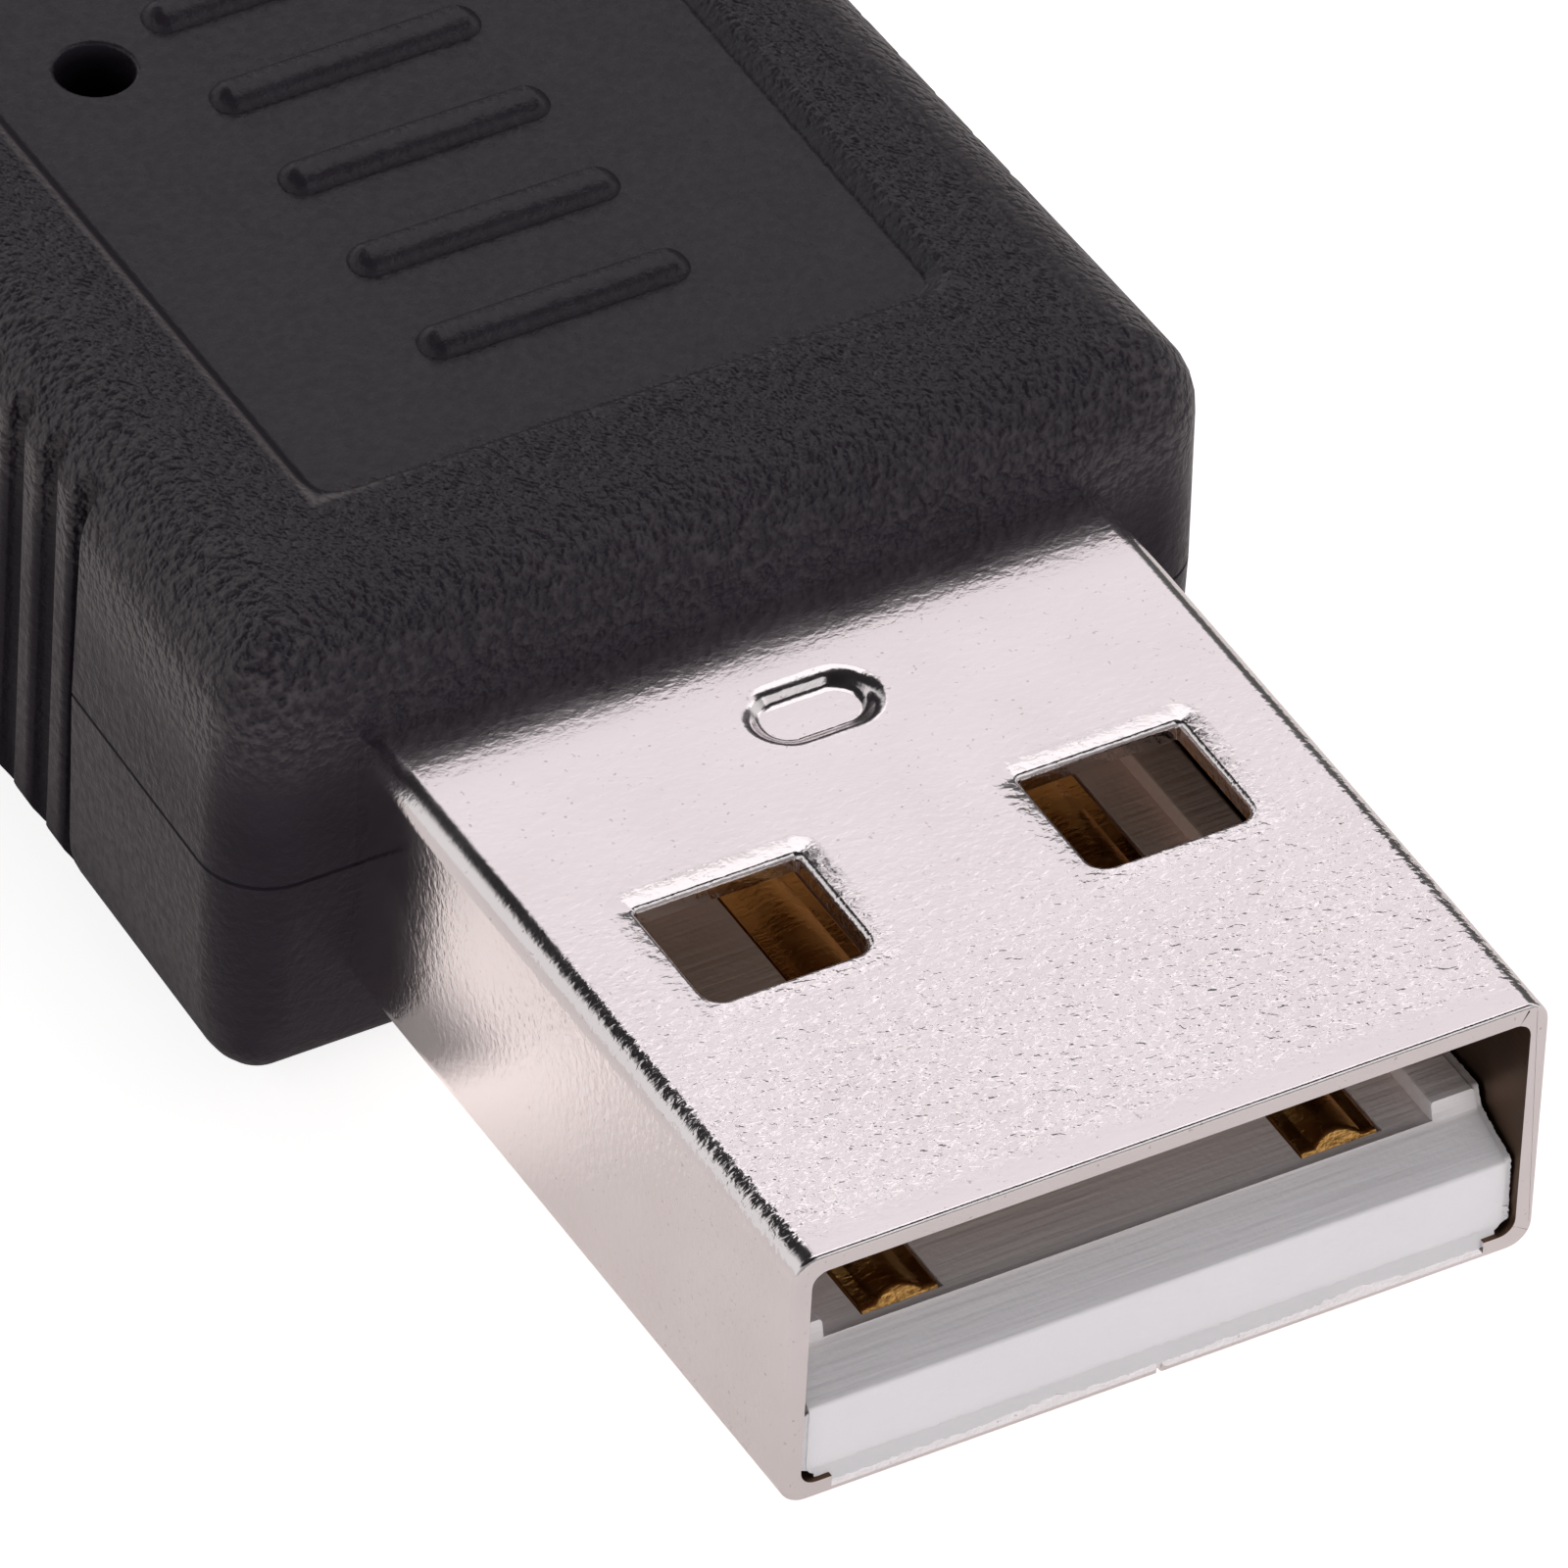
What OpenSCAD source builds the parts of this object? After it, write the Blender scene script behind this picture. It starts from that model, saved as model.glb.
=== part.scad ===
// Rectangular four-contact cable plug with a moulded grip.
//
// The plug is drawn on its own axis: X runs across the shell, Y runs from the mouth (y = 0)
// back to the cable, and z = 0 is the middle of the shell. The module in_place() then sets
// the whole plug down on the flat underside of its grip.

/* [Shell: folded, plated sheet] */
// Width of the shell outside
shell_w = 12.0; // [10:0.1:16]
// Height of the shell outside
shell_h = 4.5; // [4:0.1:6]
// Thickness of the shell sheet
shell_t = 0.30; // [0.2:0.01:0.4]
// Outside radius of the four long bends
shell_bend_r = 0.40; // [0.3:0.05:0.8]
// Inside radius of the four long bends
shell_inner_r = 0.25; // [0.1:0.05:0.4]
// Length of shell in front of the grip
shell_exposed_l = 12.1; // [11:0.1:14]
// Length of shell held inside the grip
shell_buried_l = 6.6; // [5:0.1:9]
// Width of the open butt seam along the underside
seam_gap = 0.06; // [0.04:0.01:0.15]
// How far each dovetail of the seam reaches across
seam_key_w = 1.0; // [0.6:0.1:1.4]
// Length of each dovetail along the seam
seam_key_l = 1.5; // [1:0.1:2.5]
// Distance of the front dovetail from the mouth
seam_key_front = 2.4; // [1.5:0.1:3.2]

/* [Shell windows and dimple] */
// Width of each latch window
window_w = 2.58; // [1.5:0.01:3]
// Length of each latch window
window_l = 2.16; // [1.5:0.01:2.6]
// Distance between the two windows of a side
window_gap = 3.53; // [2.5:0.01:4.5]
// Distance of the windows from the mouth
window_setback = 5.16; // [4.5:0.01:5.8]
// Radius of the front corners of a window
window_r = 0.28; // [0.1:0.01:0.5]
// Length of the pressed oval dimple across the shell
dimple_l = 2.0; // [1.4:0.1:3]
// Width of the dimple along the shell
dimple_w = 1.2; // [0.8:0.1:1.5]
// Depth to which the dimple is pressed
dimple_d = 0.20; // [0.1:0.01:0.28]
// Distance of the middle of the dimple in front of the end of the cavity
dimple_lead = 0.65; // [0.62:0.01:1]

/* [Insulator] */
// Gap between the insulator and each side wall of the shell
insulator_side_gap = 0.15; // [0.05:0.01:0.2]
// Gap between the insulator and the sheet above and below it
insulator_fit = 0.02; // [0.01:0.01:0.05]
// Radius of the long edges of the insulator
insulator_edge_r = 0.20; // [0.15:0.05:0.4]
// Distance of the front of the tongue behind the mouth
tongue_setback = 0.12; // [0.05:0.01:0.4]
// Height of the free cavity above the rails of the tongue
cavity_h = 2.0; // [1.9:0.01:2.2]
// Depth of the cavity from the mouth
cavity_l = 10.6; // [10:0.1:11]
// Height that the lead-in chamfer of the tongue falls
lead_in_h = 0.35; // [0.2:0.05:0.6]
// Length of the lead-in chamfer
lead_in_l = 0.82; // [0.4:0.01:0.9]
// Width of the rail along each side of the tongue
rail_w = 0.70; // [0.4:0.05:0.8]
// Height of a rail above the flat between the rails
rail_h = 0.30; // [0.15:0.05:0.35]
// Length of the steep front of a rail
rail_nose_l = 0.12; // [0.05:0.01:0.3]
// Distance of the back of the insulator inside the end of the shell
insulator_inset = 0.8; // [0.2:0.1:2]

/* [Contacts] */
// Width of a contact
contact_w = 1.20; // [1.0:0.01:1.2]
// Thickness of a contact at its edges, which lie flush with the flat of the tongue
contact_t = 0.20; // [0.15:0.01:0.25]
// Width of the raised crown along the middle of a contact
crown_w = 0.76; // [0.5:0.02:0.9]
// Height of the crown above the edges of a contact
contact_crown = 0.10; // [0.04:0.01:0.12]
// Distance of an inner contact from the middle of the plug
inner_pitch = 1.0; // [0.8:0.05:1.1]
// Distance of an outer contact from the middle of the plug
outer_pitch = 3.5; // [3:0.05:3.8]
// Width of the channel that holds a contact
channel_w = 1.30; // [1.2:0.01:1.4]
// Distance of the outer channels behind the front of the tongue
outer_channel_setback = 1.04; // [1:0.01:1.3]
// How much further back the inner channels start
inner_channel_extra = 1.15; // [0.5:0.05:2]
// Length of the sloped nose of a contact
contact_nose_l = 0.25; // [0.1:0.05:0.5]
// Length of a solder tail behind the insulator
tail_l = 2.8; // [2:0.1:4]
// Length of a retaining barb on the side of a contact
barb_l = 0.6; // [0.3:0.1:1]
// Gap between a barb and the wall of its channel
barb_gap = 0.02; // [0.01:0.01:0.05]

/* [Shield cans] */
// Thickness of the shield sheet
shield_t = 0.30; // [0.2:0.05:0.4]
// Gap between the shell and the shield that clasps it
shield_fit = 0.05; // [0.02:0.01:0.1]
// Gap between the edges of the two halves
shield_split = 0.10; // [0.05:0.01:0.3]
// Outside radius of the long bends of the can
shield_bend_r = 0.6; // [0.5:0.1:1]
// Distance of the front of the can behind the face of the grip
shield_setback = 0.9; // [0.8:0.1:2]
// Length of the can behind the end of the shell
solder_room = 5.0; // [4:0.1:7]
// Length of the neck between the can and the crimp barrel
neck_l = 1.4; // [0.8:0.1:3]
// Width of the neck
neck_w = 3.0; // [1.5:0.1:3.6]
// Length of the crimp barrel
crimp_l = 3.0; // [2:0.1:5]
// Width of the slot along the top of the crimp barrel
crimp_slot = 0.5; // [0.2:0.1:1]

/* [Inner mould] */
// Wall of the inner mould around the can
inner_wall = 0.35; // [0.3:0.05:0.8]
// Radius of the long edges of the inner mould
inner_edge_r = 0.8; // [0.4:0.1:1.2]
// Wall of the collar around the crimp barrel
collar_wall = 0.7; // [0.4:0.1:1]

/* [Grip: outer mould] */
// Wall of the grip beside the inner mould
grip_side_wall = 1.20; // [0.9:0.05:2.5]
// Wall of the grip above and below the inner mould
grip_top_wall = 1.20; // [0.9:0.05:2.5]
// Radius of the rounded long edges of the grip
grip_edge_r = 1.5; // [0.8:0.1:2]
// Radius of the two front corners seen from above
grip_front_r = 1.05; // [0.5:0.05:2]
// Radius of the two rear corners seen from above
grip_rear_r = 4.0; // [2:0.1:4.5]
// Taper of each side wall towards the cable, in degrees
grip_taper = 1.5; // [0:0.1:2]
// Draft of each half of the mould, in degrees
grip_draft = 1.0; // [0:0.1:2]
// Diameter of the cable inlet
inlet_d = 4.6; // [3.5:0.1:5.2]
// Length of the cable inlet in the grip
inlet_l = 9.15; // [5:0.05:14]

/* [Grip panel] */
// Width of the floor of the sunk panel
panel_w = 9.9; // [7:0.1:11]
// Length of the floor of the sunk panel
panel_l = 17.5; // [12:0.1:18]
// Distance of the panel behind the face of the grip
panel_setback = 3.1; // [2.6:0.1:4]
// Depth of the panel, with walls that slope at 45 degrees
panel_d = 0.25; // [0.1:0.01:0.5]
// Corner radius of the panel
panel_r = 0.4; // [0.2:0.05:1]
// Number of raised thumb ribs
rib_count = 5; // [3:1:6]
// Distance between thumb ribs
rib_pitch = 2.0; // [1.5:0.1:2.2]
// Length of a thumb rib across the panel
rib_l = 4.4; // [3:0.1:5]
// Radius of the rounded back of a rib
rib_r = 0.40; // [0.3:0.01:0.5]
// Height of a rib above the panel floor
rib_h = 0.24; // [0.1:0.01:0.3]
// Distance of the first rib behind the front of the panel
rib_setback = 2.2; // [1.5:0.1:4]
// Diameter of the holes left by the mould's support pins
pin_hole_d = 1.16; // [0.6:0.02:1.6]
// Distance of a support-pin hole from the middle of the plug
pin_hole_x = 3.25; // [2.9:0.05:3.8]
// Distance of the support-pin holes behind the face of the grip
pin_hole_setback = 12.75; // [8:0.05:14]

/* [Grip side grooves] */
// Distance of the grooved zone behind the face of the grip
groove_setback = 4.95; // [3:0.05:7]
// Number of grooves on each side
groove_count = 12; // [4:1:13]
// Distance between grooves
groove_pitch = 1.0; // [0.8:0.05:1.1]
// Width of a groove
groove_w = 0.50; // [0.3:0.01:0.6]
// Depth of the grooved zone below the side wall
groove_zone_d = 0.15; // [0.05:0.01:0.25]
// Depth of a groove below the grooved zone
groove_d = 0.30; // [0.15:0.01:0.4]

/* [Hidden] */
$fn = 48;
over = 1;            // how far a cutting shape runs past what it cuts
thin = 0.004;        // overlap that joins two shapes into one piece
fillet_steps = 8;    // slices from the side wall to the flat of the grip

// Shell
shell_in_w = shell_w - 2 * shell_t;
shell_in_h = shell_h - 2 * shell_t;
y_grip = shell_exposed_l;
y_shell_end = y_grip + shell_buried_l;
y_dimple = cavity_l - dimple_lead;
seam_key_rake = 0.2;                      // how much each flank of a dovetail leans
y_seam_keys = [seam_key_front, y_shell_end - shell_buried_l / 2 - seam_key_l / 2];

// Insulator and contacts
insulator_w = shell_in_w - 2 * insulator_side_gap;
insulator_h = shell_in_h - 2 * insulator_fit;
y_insulator_end = y_shell_end - insulator_inset;
z_tongue = shell_in_h / 2 - cavity_h;
z_flat = z_tongue - rail_h;
z_channel = z_flat - contact_t;
y_outer_channel = tongue_setback + outer_channel_setback;
y_inner_channel = y_outer_channel + inner_channel_extra;
barb_reach = (channel_w - contact_w) / 2 - barb_gap;
y_barb = cavity_l + 2;

// Shields
can_w = shell_w + 2 * (shield_fit + shield_t);
can_h = shell_h + 2 * (shield_fit + shield_t);
y_can = y_grip + shield_setback;
y_can_end = y_shell_end + solder_room;
inlet_r = inlet_d / 2;
barrel_r = inlet_r + shield_t;
y_barrel = y_can_end + neck_l;
y_barrel_end = y_barrel + crimp_l;
wire_gate_gap = 0.2;                      // room round the wires where they enter the can

// Inner mould
inner_w = can_w + 2 * inner_wall;
inner_h = can_h + 2 * inner_wall;
y_inner = y_can - inner_wall;
y_block_end = y_can_end + inner_wall;
y_inner_end = y_barrel_end + inner_wall;
collar_r = barrel_r + collar_wall;

// Grip
grip_w = inner_w + 2 * grip_side_wall;
grip_h = inner_h + 2 * grip_top_wall;
y_grip_end = y_inner_end + inlet_l;
grip_l = y_grip_end - y_grip;
grip_rear_w = grip_w - 2 * grip_l * tan(grip_taper);
grip_draft_x = (grip_h / 2 - grip_edge_r) * tan(grip_draft);
z_panel = grip_h / 2 - panel_d;
y_panel = y_grip + panel_setback;
y_first_rib = y_panel + rib_setback;
y_pin_hole = y_grip + pin_hole_setback;
y_grooves = y_grip + groove_setback;
groove_zone_l = (groove_count - 1) * groove_pitch + groove_w;
plug_l = y_grip_end;

// Stands the plug on the underside of its grip, with its length centred on the origin
module in_place() {
    translate([0, -plug_l / 2, grip_h / 2]) children();
}

// ---- Shared shapes -----------------------------------------------------------------

// Rectangle with round corners, as the section of a tube or a bar
module round_rect(w, h, r) {
    square([w - 2 * r, h], center = true);
    square([w, h - 2 * r], center = true);
    for (sx = [-1, 1], sy = [-1, 1])
        translate([sx * (w / 2 - r), sy * (h / 2 - r)]) circle(r);
}

// Extrudes a section drawn in X and Z from y0 to y1
module along_y(y0, y1) {
    translate([0, y1, 0]) rotate([90, 0, 0]) linear_extrude(y1 - y0) children();
}

// Bar with long rounded edges, from y0 to y1
module bar(w, h, r, y0, y1) {
    along_y(y0, y1) round_rect(w, h, r);
}

// Round rod along Y
module rod(r, y0, y1) {
    along_y(y0, y1) circle(r);
}

// Block given by its lowest and highest corners
module block(low, high) {
    translate(low) cube(high - low);
}

// ---- Shell -------------------------------------------------------------------------

// Outline of one latch window: square at the back, round at its front corners
module window_outline() {
    translate([window_gap / 2, window_setback]) {
        translate([0, window_r]) square([window_w, window_l - window_r]);
        translate([window_r, 0]) square([window_w - 2 * window_r, window_l]);
        for (x = [window_r, window_w - window_r])
            translate([x, window_r]) circle(window_r);
    }
}

// Long oval with sloping flanks, its mouth at z = 0, that widens as it rises above it
module dimple_form(rise) {
    r_mouth = dimple_w / 2;
    r_floor = r_mouth - dimple_d;
    r_top = r_mouth + rise;
    reach = (dimple_l - dimple_w) / 2;
    for (s = [-1, 1])
        translate([s * reach, 0, -dimple_d]) cylinder(h = dimple_d + rise, r1 = r_floor, r2 = r_top);
    rotate([90, 0, 90])
        linear_extrude(2 * reach, center = true)
            polygon([[-r_floor, -dimple_d], [r_floor, -dimple_d], [r_top, rise], [-r_top, rise]]);
}

// Outline of a dovetail tongue that starts at y, made larger all round by grow
module seam_key(y, grow) {
    w = seam_key_w + grow;
    y0 = y - grow;
    y1 = y + seam_key_l + grow;
    polygon([[-over, y0], [0, y0], [w, y0 - seam_key_rake], [w, y1 + seam_key_rake], [0, y1], [-over, y1]]);
}

// The butt seam: a straight slit that steps round each dovetail
module seam_outline() {
    difference() {
        union() {
            translate([0, -over]) square([seam_gap, y_shell_end + 2 * over]);
            for (y = y_seam_keys) seam_key(y, seam_gap);
        }
        for (y = y_seam_keys) seam_key(y, 0);
        translate([-2 * over, -2 * over]) square([2 * over, y_shell_end + 4 * over]);
    }
}

module shell() {
    color("gainsboro") in_place() difference() {
        union() {
            difference() {
                bar(shell_w, shell_h, shell_bend_r, 0, y_shell_end);
                bar(shell_in_w, shell_in_h, shell_inner_r, -over, y_shell_end + over);
            }
            // the dimple's back, pressed through to the inside as a stop for the insulator
            translate([0, y_dimple, shell_in_h / 2]) dimple_form(shell_t / 4);
        }
        translate([0, y_dimple, shell_h / 2]) dimple_form(shell_t);
        // latch windows, two above and two below
        for (s = [0, 1]) mirror([s, 0, 0])
            translate([0, 0, -shell_h]) linear_extrude(2 * shell_h) window_outline();
        // butt seam of the folded sheet, in the underside only
        translate([0, 0, -shell_h]) linear_extrude(shell_h) seam_outline();
    }
}

// ---- Insulator ---------------------------------------------------------------------

// Side view of the insulator in Y and Z: tongue and rail in front, full-height block behind
module insulator_profile() {
    top = insulator_h / 2;
    y_rail = tongue_setback + lead_in_l;
    polygon([
        [tongue_setback, -top],
        [tongue_setback, z_flat - lead_in_h],
        [y_rail, z_flat],
        [y_rail + rail_nose_l, z_tongue],
        [cavity_l, z_tongue],
        [cavity_l, top],
        [y_insulator_end, top],
        [y_insulator_end, -top]
    ]);
}

// Channel of one contact, open above the tongue and a tunnel through the block behind it
module contact_channel(x, y_front) {
    block([x - channel_w / 2, y_front, z_channel], [x + channel_w / 2, y_insulator_end + over, z_tongue]);
    block([x - channel_w / 2, y_front, z_channel], [x + channel_w / 2, cavity_l, z_tongue + over]);
}

module insulator() {
    color("whitesmoke") in_place() difference() {
        intersection() {
            rotate([90, 0, 90]) linear_extrude(insulator_w, center = true) insulator_profile();
            bar(insulator_w, insulator_h, insulator_edge_r, 0, y_insulator_end + over);
        }
        // the flat between the two rails
        block([rail_w - insulator_w / 2, 0, z_flat], [insulator_w / 2 - rail_w, cavity_l, z_tongue + over]);
        for (s = [-1, 1]) {
            contact_channel(s * outer_pitch, y_outer_channel);
            contact_channel(s * inner_pitch, y_inner_channel);
        }
    }
}

// ---- Contacts ----------------------------------------------------------------------

// Section of a contact in X and Z: a flat strip with a low round crown along its middle
module contact_section() {
    crown_r = (pow(crown_w / 2, 2) + pow(contact_crown, 2)) / (2 * contact_crown);
    translate([-contact_w / 2, 0]) square([contact_w, contact_t]);
    intersection() {
        translate([0, contact_t + contact_crown - crown_r]) circle(crown_r, $fn = 240);
        translate([-crown_w / 2, contact_t / 2]) square([crown_w, contact_t / 2 + 2 * contact_crown]);
    }
}

// One stamped contact: sloped nose, crowned strip, two barbs and a flat solder tail
module contact(x, y_front) {
    y_tail_end = y_insulator_end + tail_l;
    color("goldenrod") in_place() translate([x, 0, z_channel]) {
        difference() {
            along_y(y_front, y_insulator_end) contact_section();
            // the nose falls to the floor of the channel
            translate([0, y_front, contact_t / 2])
                rotate([atan2(contact_crown + contact_t / 2, contact_nose_l), 0, 0])
                    translate([-contact_w, -over, 0]) cube([2 * contact_w, over + contact_nose_l, over]);
        }
        block([-contact_w / 2, y_insulator_end - thin, 0], [contact_w / 2, y_tail_end, contact_t]);
        for (s = [0, 1]) mirror([s, 0, 0])
            linear_extrude(contact_t)
                polygon([
                    [contact_w / 2 - thin, y_barb],
                    [contact_w / 2 + barb_reach, y_barb + barb_l],
                    [contact_w / 2 - thin, y_barb + barb_l]
                ]);
    }
}

module contact_power() { contact(-outer_pitch, y_outer_channel); }
module contact_data_minus() { contact(-inner_pitch, y_inner_channel); }
module contact_data_plus() { contact(inner_pitch, y_inner_channel); }
module contact_ground() { contact(outer_pitch, y_outer_channel); }

// ---- Shields -----------------------------------------------------------------------

// The closed can: a box of sheet round the solder joints, with a gate for the wires
module can() {
    difference() {
        bar(can_w, can_h, shield_bend_r, y_can, y_can_end);
        bar(can_w - 2 * shield_t, can_h - 2 * shield_t, shield_bend_r - shield_t, y_can - over, y_can_end - shield_t);
        rod(inlet_r - wire_gate_gap, y_can, y_can_end + over);
    }
}

// The strip that carries the crimp barrel behind the can
module neck() {
    y0 = y_can_end - shield_t;
    z0 = -can_h / 2;
    z1 = -barrel_r;
    rotate([90, 0, 90]) linear_extrude(neck_w, center = true)
        polygon([
            [y0, z0], [y_can_end, z0], [y_barrel, z1], [y_barrel_end, z1],
            [y_barrel_end, z1 + shield_t], [y_barrel, z1 + shield_t], [y_can_end, z0 + shield_t], [y0, z0 + shield_t]
        ]);
}

// The space that the neck and the barrel take in what is moulded round them
module neck_and_barrel_room() {
    rod(barrel_r, y_can_end - thin, y_barrel_end);
    neck();
}

module shield_upper() {
    color("silver") in_place() intersection() {
        can();
        block([-can_w, 0, shield_split / 2], [can_w, plug_l, can_h]);
    }
}

module shield_lower() {
    color("silver") in_place() {
        intersection() {
            can();
            block([-can_w, 0, -can_h], [can_w, plug_l, -shield_split / 2]);
        }
        neck();
        difference() {
            rod(barrel_r, y_barrel, y_barrel_end);
            rod(inlet_r, y_barrel - over, y_barrel_end + over);
            block([-crimp_slot / 2, y_barrel - over, 0], [crimp_slot / 2, y_barrel_end + over, barrel_r + over]);
        }
    }
}

// ---- Inner mould -------------------------------------------------------------------

// Outside of the inner mould: a block round the can and a collar round the crimp
module inner_mould_form() {
    bar(inner_w, inner_h, inner_edge_r, y_inner, y_block_end);
    rod(collar_r, y_block_end - over, y_inner_end);
}

module inner_mould() {
    color("dimgray") in_place() difference() {
        inner_mould_form();
        bar(shell_w, shell_h, shell_bend_r, y_inner - over, y_can + over);
        bar(can_w, can_h, shield_bend_r, y_can, y_can_end);
        neck_and_barrel_room();
        rod(inlet_r, y_can_end, y_inner_end + over);
    }
}

// ---- Grip --------------------------------------------------------------------------

// Both corners of one end of a slice of the grip: inset moves the walls in, and the radius
// shrinks with it; dir is 1 at the front and -1 at the rear. Each corner is a flat cone
// whose tip points to the middle of the grip, so only its rim shapes the outside.
module grip_corners(half_w, y, r, dir, inset, z) {
    slice_r = max(r - inset, 0.05);
    for (s = [-1, 1])
        translate([s * (half_w - inset - slice_r), y + dir * (inset + slice_r), z])
            mirror([0, 0, z > 0 ? 1 : 0]) cylinder(h = thin, r1 = slice_r, r2 = 0);
}

// A whole slice of the grip at height z
module grip_slice(inset, z) {
    grip_corners(grip_w / 2, y_grip, grip_front_r, 1, inset, z, $fn = 24);
    grip_corners(grip_rear_w / 2, y_grip_end, grip_rear_r, -1, inset, z, $fn = 40);
}

// Outside of the grip: slices follow the draft up to the rounded edge, then round it
module grip_form() {
    flat_z = grip_h / 2 - grip_edge_r;
    hull() {
        grip_slice(0, 0);
        for (s = [-1, 1], i = [0 : fillet_steps]) {
            a = 90 * i / fillet_steps;
            grip_slice(
                grip_draft_x + grip_edge_r * (1 - cos(a)) * (grip_edge_r - grip_draft_x) / grip_edge_r,
                s * (flat_z + grip_edge_r * sin(a))
            );
        }
    }
}

// Sunk panel with sloping walls, in the top of the grip
module panel_cut() {
    rise = panel_d + over;
    hull()
        for (sx = [-1, 1], y = [y_panel + panel_r, y_panel + panel_l - panel_r])
            translate([sx * (panel_w / 2 - panel_r), y, z_panel])
                cylinder(h = rise, r1 = panel_r, r2 = panel_r + rise, $fn = 32);
}

// One raised thumb rib, round along its back and at its ends
module thumb_rib(y) {
    reach = rib_l / 2 - rib_r;
    translate([0, y, z_panel + rib_h - rib_r]) intersection() {
        union() {
            rotate([0, 90, 0]) cylinder(h = 2 * reach, r = rib_r, center = true);
            for (s = [-1, 1]) translate([s * reach, 0, 0]) sphere(rib_r);
        }
        // the foot of the rib stays inside the wall of the grip
        translate([-rib_l, -rib_l, rib_r - rib_h - panel_d]) cube([2 * rib_l, 2 * rib_l, 2 * rib_r + panel_d]);
    }
}

// Grooved zone of one side, set square to the tapered side wall
module side_grooves() {
    depth = groove_zone_d + groove_d;
    x_wall = grip_w / 2 - (y_grooves - y_grip) * tan(grip_taper);
    translate([x_wall, y_grooves, 0]) rotate(grip_taper) {
        block([-groove_zone_d, 0, -grip_h], [over, groove_zone_l, grip_h]);
        for (i = [0 : groove_count - 1])
            translate([-depth, groove_w / 2 + i * groove_pitch, -grip_h]) {
                translate([groove_w / 2, 0, 0]) cylinder(h = 2 * grip_h, d = groove_w, $fn = 24);
                translate([groove_w / 2, -groove_w / 2, 0]) cube([depth + over, groove_w, 2 * grip_h]);
            }
    }
}

// Holes left by the pins that hold the inner mould in the middle of the grip's mould
module pin_holes() {
    for (sx = [-1, 1], sz = [0, 1]) mirror([0, 0, sz])
        translate([sx * pin_hole_x, y_pin_hole, inner_h / 2]) cylinder(h = grip_h, d = pin_hole_d);
}

module grip() {
    color([0.24, 0.23, 0.25]) in_place() difference() {
        union() {
            difference() {
                grip_form();
                panel_cut();
                for (s = [0, 1]) mirror([s, 0, 0]) side_grooves();
            }
            for (i = [0 : rib_count - 1]) thumb_rib(y_first_rib + i * rib_pitch);
        }
        inner_mould_form();
        bar(shell_w, shell_h, shell_bend_r, y_grip - over, y_inner + over);
        rod(inlet_r, y_inner_end - over, y_grip_end + over);
        pin_holes();
    }
}

grip();
inner_mould();
shell();
insulator();
contact_power();
contact_data_minus();
contact_data_plus();
contact_ground();
shield_upper();
shield_lower();
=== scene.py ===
# %% [markdown]
# # A four-contact cable plug with a moulded grip
#
# The plug is a folded steel shell with a white plastic tongue inside it, four gilded
# contacts on the tongue, and a soft black grip moulded over the back of everything.
# The frame holds every part at its exact size. Here the shell, the insulator, the contacts
# and the grip are modelled again with the small roundings that catch the light, and the
# inner parts keep their shapes and get better materials.

# %% Load the frame
import math
import random

import bmesh
import bpy
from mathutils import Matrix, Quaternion, Vector


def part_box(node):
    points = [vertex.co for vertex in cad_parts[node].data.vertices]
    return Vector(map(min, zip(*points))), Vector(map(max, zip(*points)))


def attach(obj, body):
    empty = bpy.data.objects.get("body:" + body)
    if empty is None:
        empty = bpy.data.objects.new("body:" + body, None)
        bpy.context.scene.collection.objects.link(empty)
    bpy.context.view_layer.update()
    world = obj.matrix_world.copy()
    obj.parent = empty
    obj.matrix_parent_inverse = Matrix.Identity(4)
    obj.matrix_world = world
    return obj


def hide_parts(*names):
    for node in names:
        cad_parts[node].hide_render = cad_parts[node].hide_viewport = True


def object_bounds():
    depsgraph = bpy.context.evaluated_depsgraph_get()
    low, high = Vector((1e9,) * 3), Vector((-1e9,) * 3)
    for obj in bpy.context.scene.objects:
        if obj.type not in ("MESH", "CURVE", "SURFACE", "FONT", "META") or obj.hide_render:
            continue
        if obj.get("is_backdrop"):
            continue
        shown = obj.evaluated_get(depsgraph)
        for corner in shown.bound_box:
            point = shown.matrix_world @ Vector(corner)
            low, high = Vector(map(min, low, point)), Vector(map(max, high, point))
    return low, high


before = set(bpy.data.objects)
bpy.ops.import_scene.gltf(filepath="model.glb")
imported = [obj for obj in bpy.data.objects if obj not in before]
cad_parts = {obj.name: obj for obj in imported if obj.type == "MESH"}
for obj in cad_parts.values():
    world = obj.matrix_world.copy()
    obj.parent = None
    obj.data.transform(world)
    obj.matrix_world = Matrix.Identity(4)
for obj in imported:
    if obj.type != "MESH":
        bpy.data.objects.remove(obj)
for leftover in ("Cube", "Light", "Camera"):
    if leftover in bpy.data.objects:
        bpy.data.objects.remove(bpy.data.objects[leftover], do_unlink=True)
cad_low, cad_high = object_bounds()

# %% [markdown]
# ## Units and sizes
#
# The frame is in metres, and this plug is less than 40 mm long. Blender's tools are made for
# sizes near a metre, and lose edges below a tenth of a millimetre. So each piece is modelled
# at one unit to the millimetre, and scaled to metres when it is handed over to the frame.

# %% Sizes from the frame, in millimetres
MM = 0.001


def box_mm(node):
    """Lowest and highest corner of a frame node, in millimetres."""
    low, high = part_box(node)
    return low / MM, high / MM


shell_low, shell_high = box_mm("shell")
grip_low, grip_high = box_mm("grip")
insulator_low, insulator_high = box_mm("insulator")
mould_low, mould_high = box_mm("inner_mould")
can_high = box_mm("shield_lower")[1]

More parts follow.
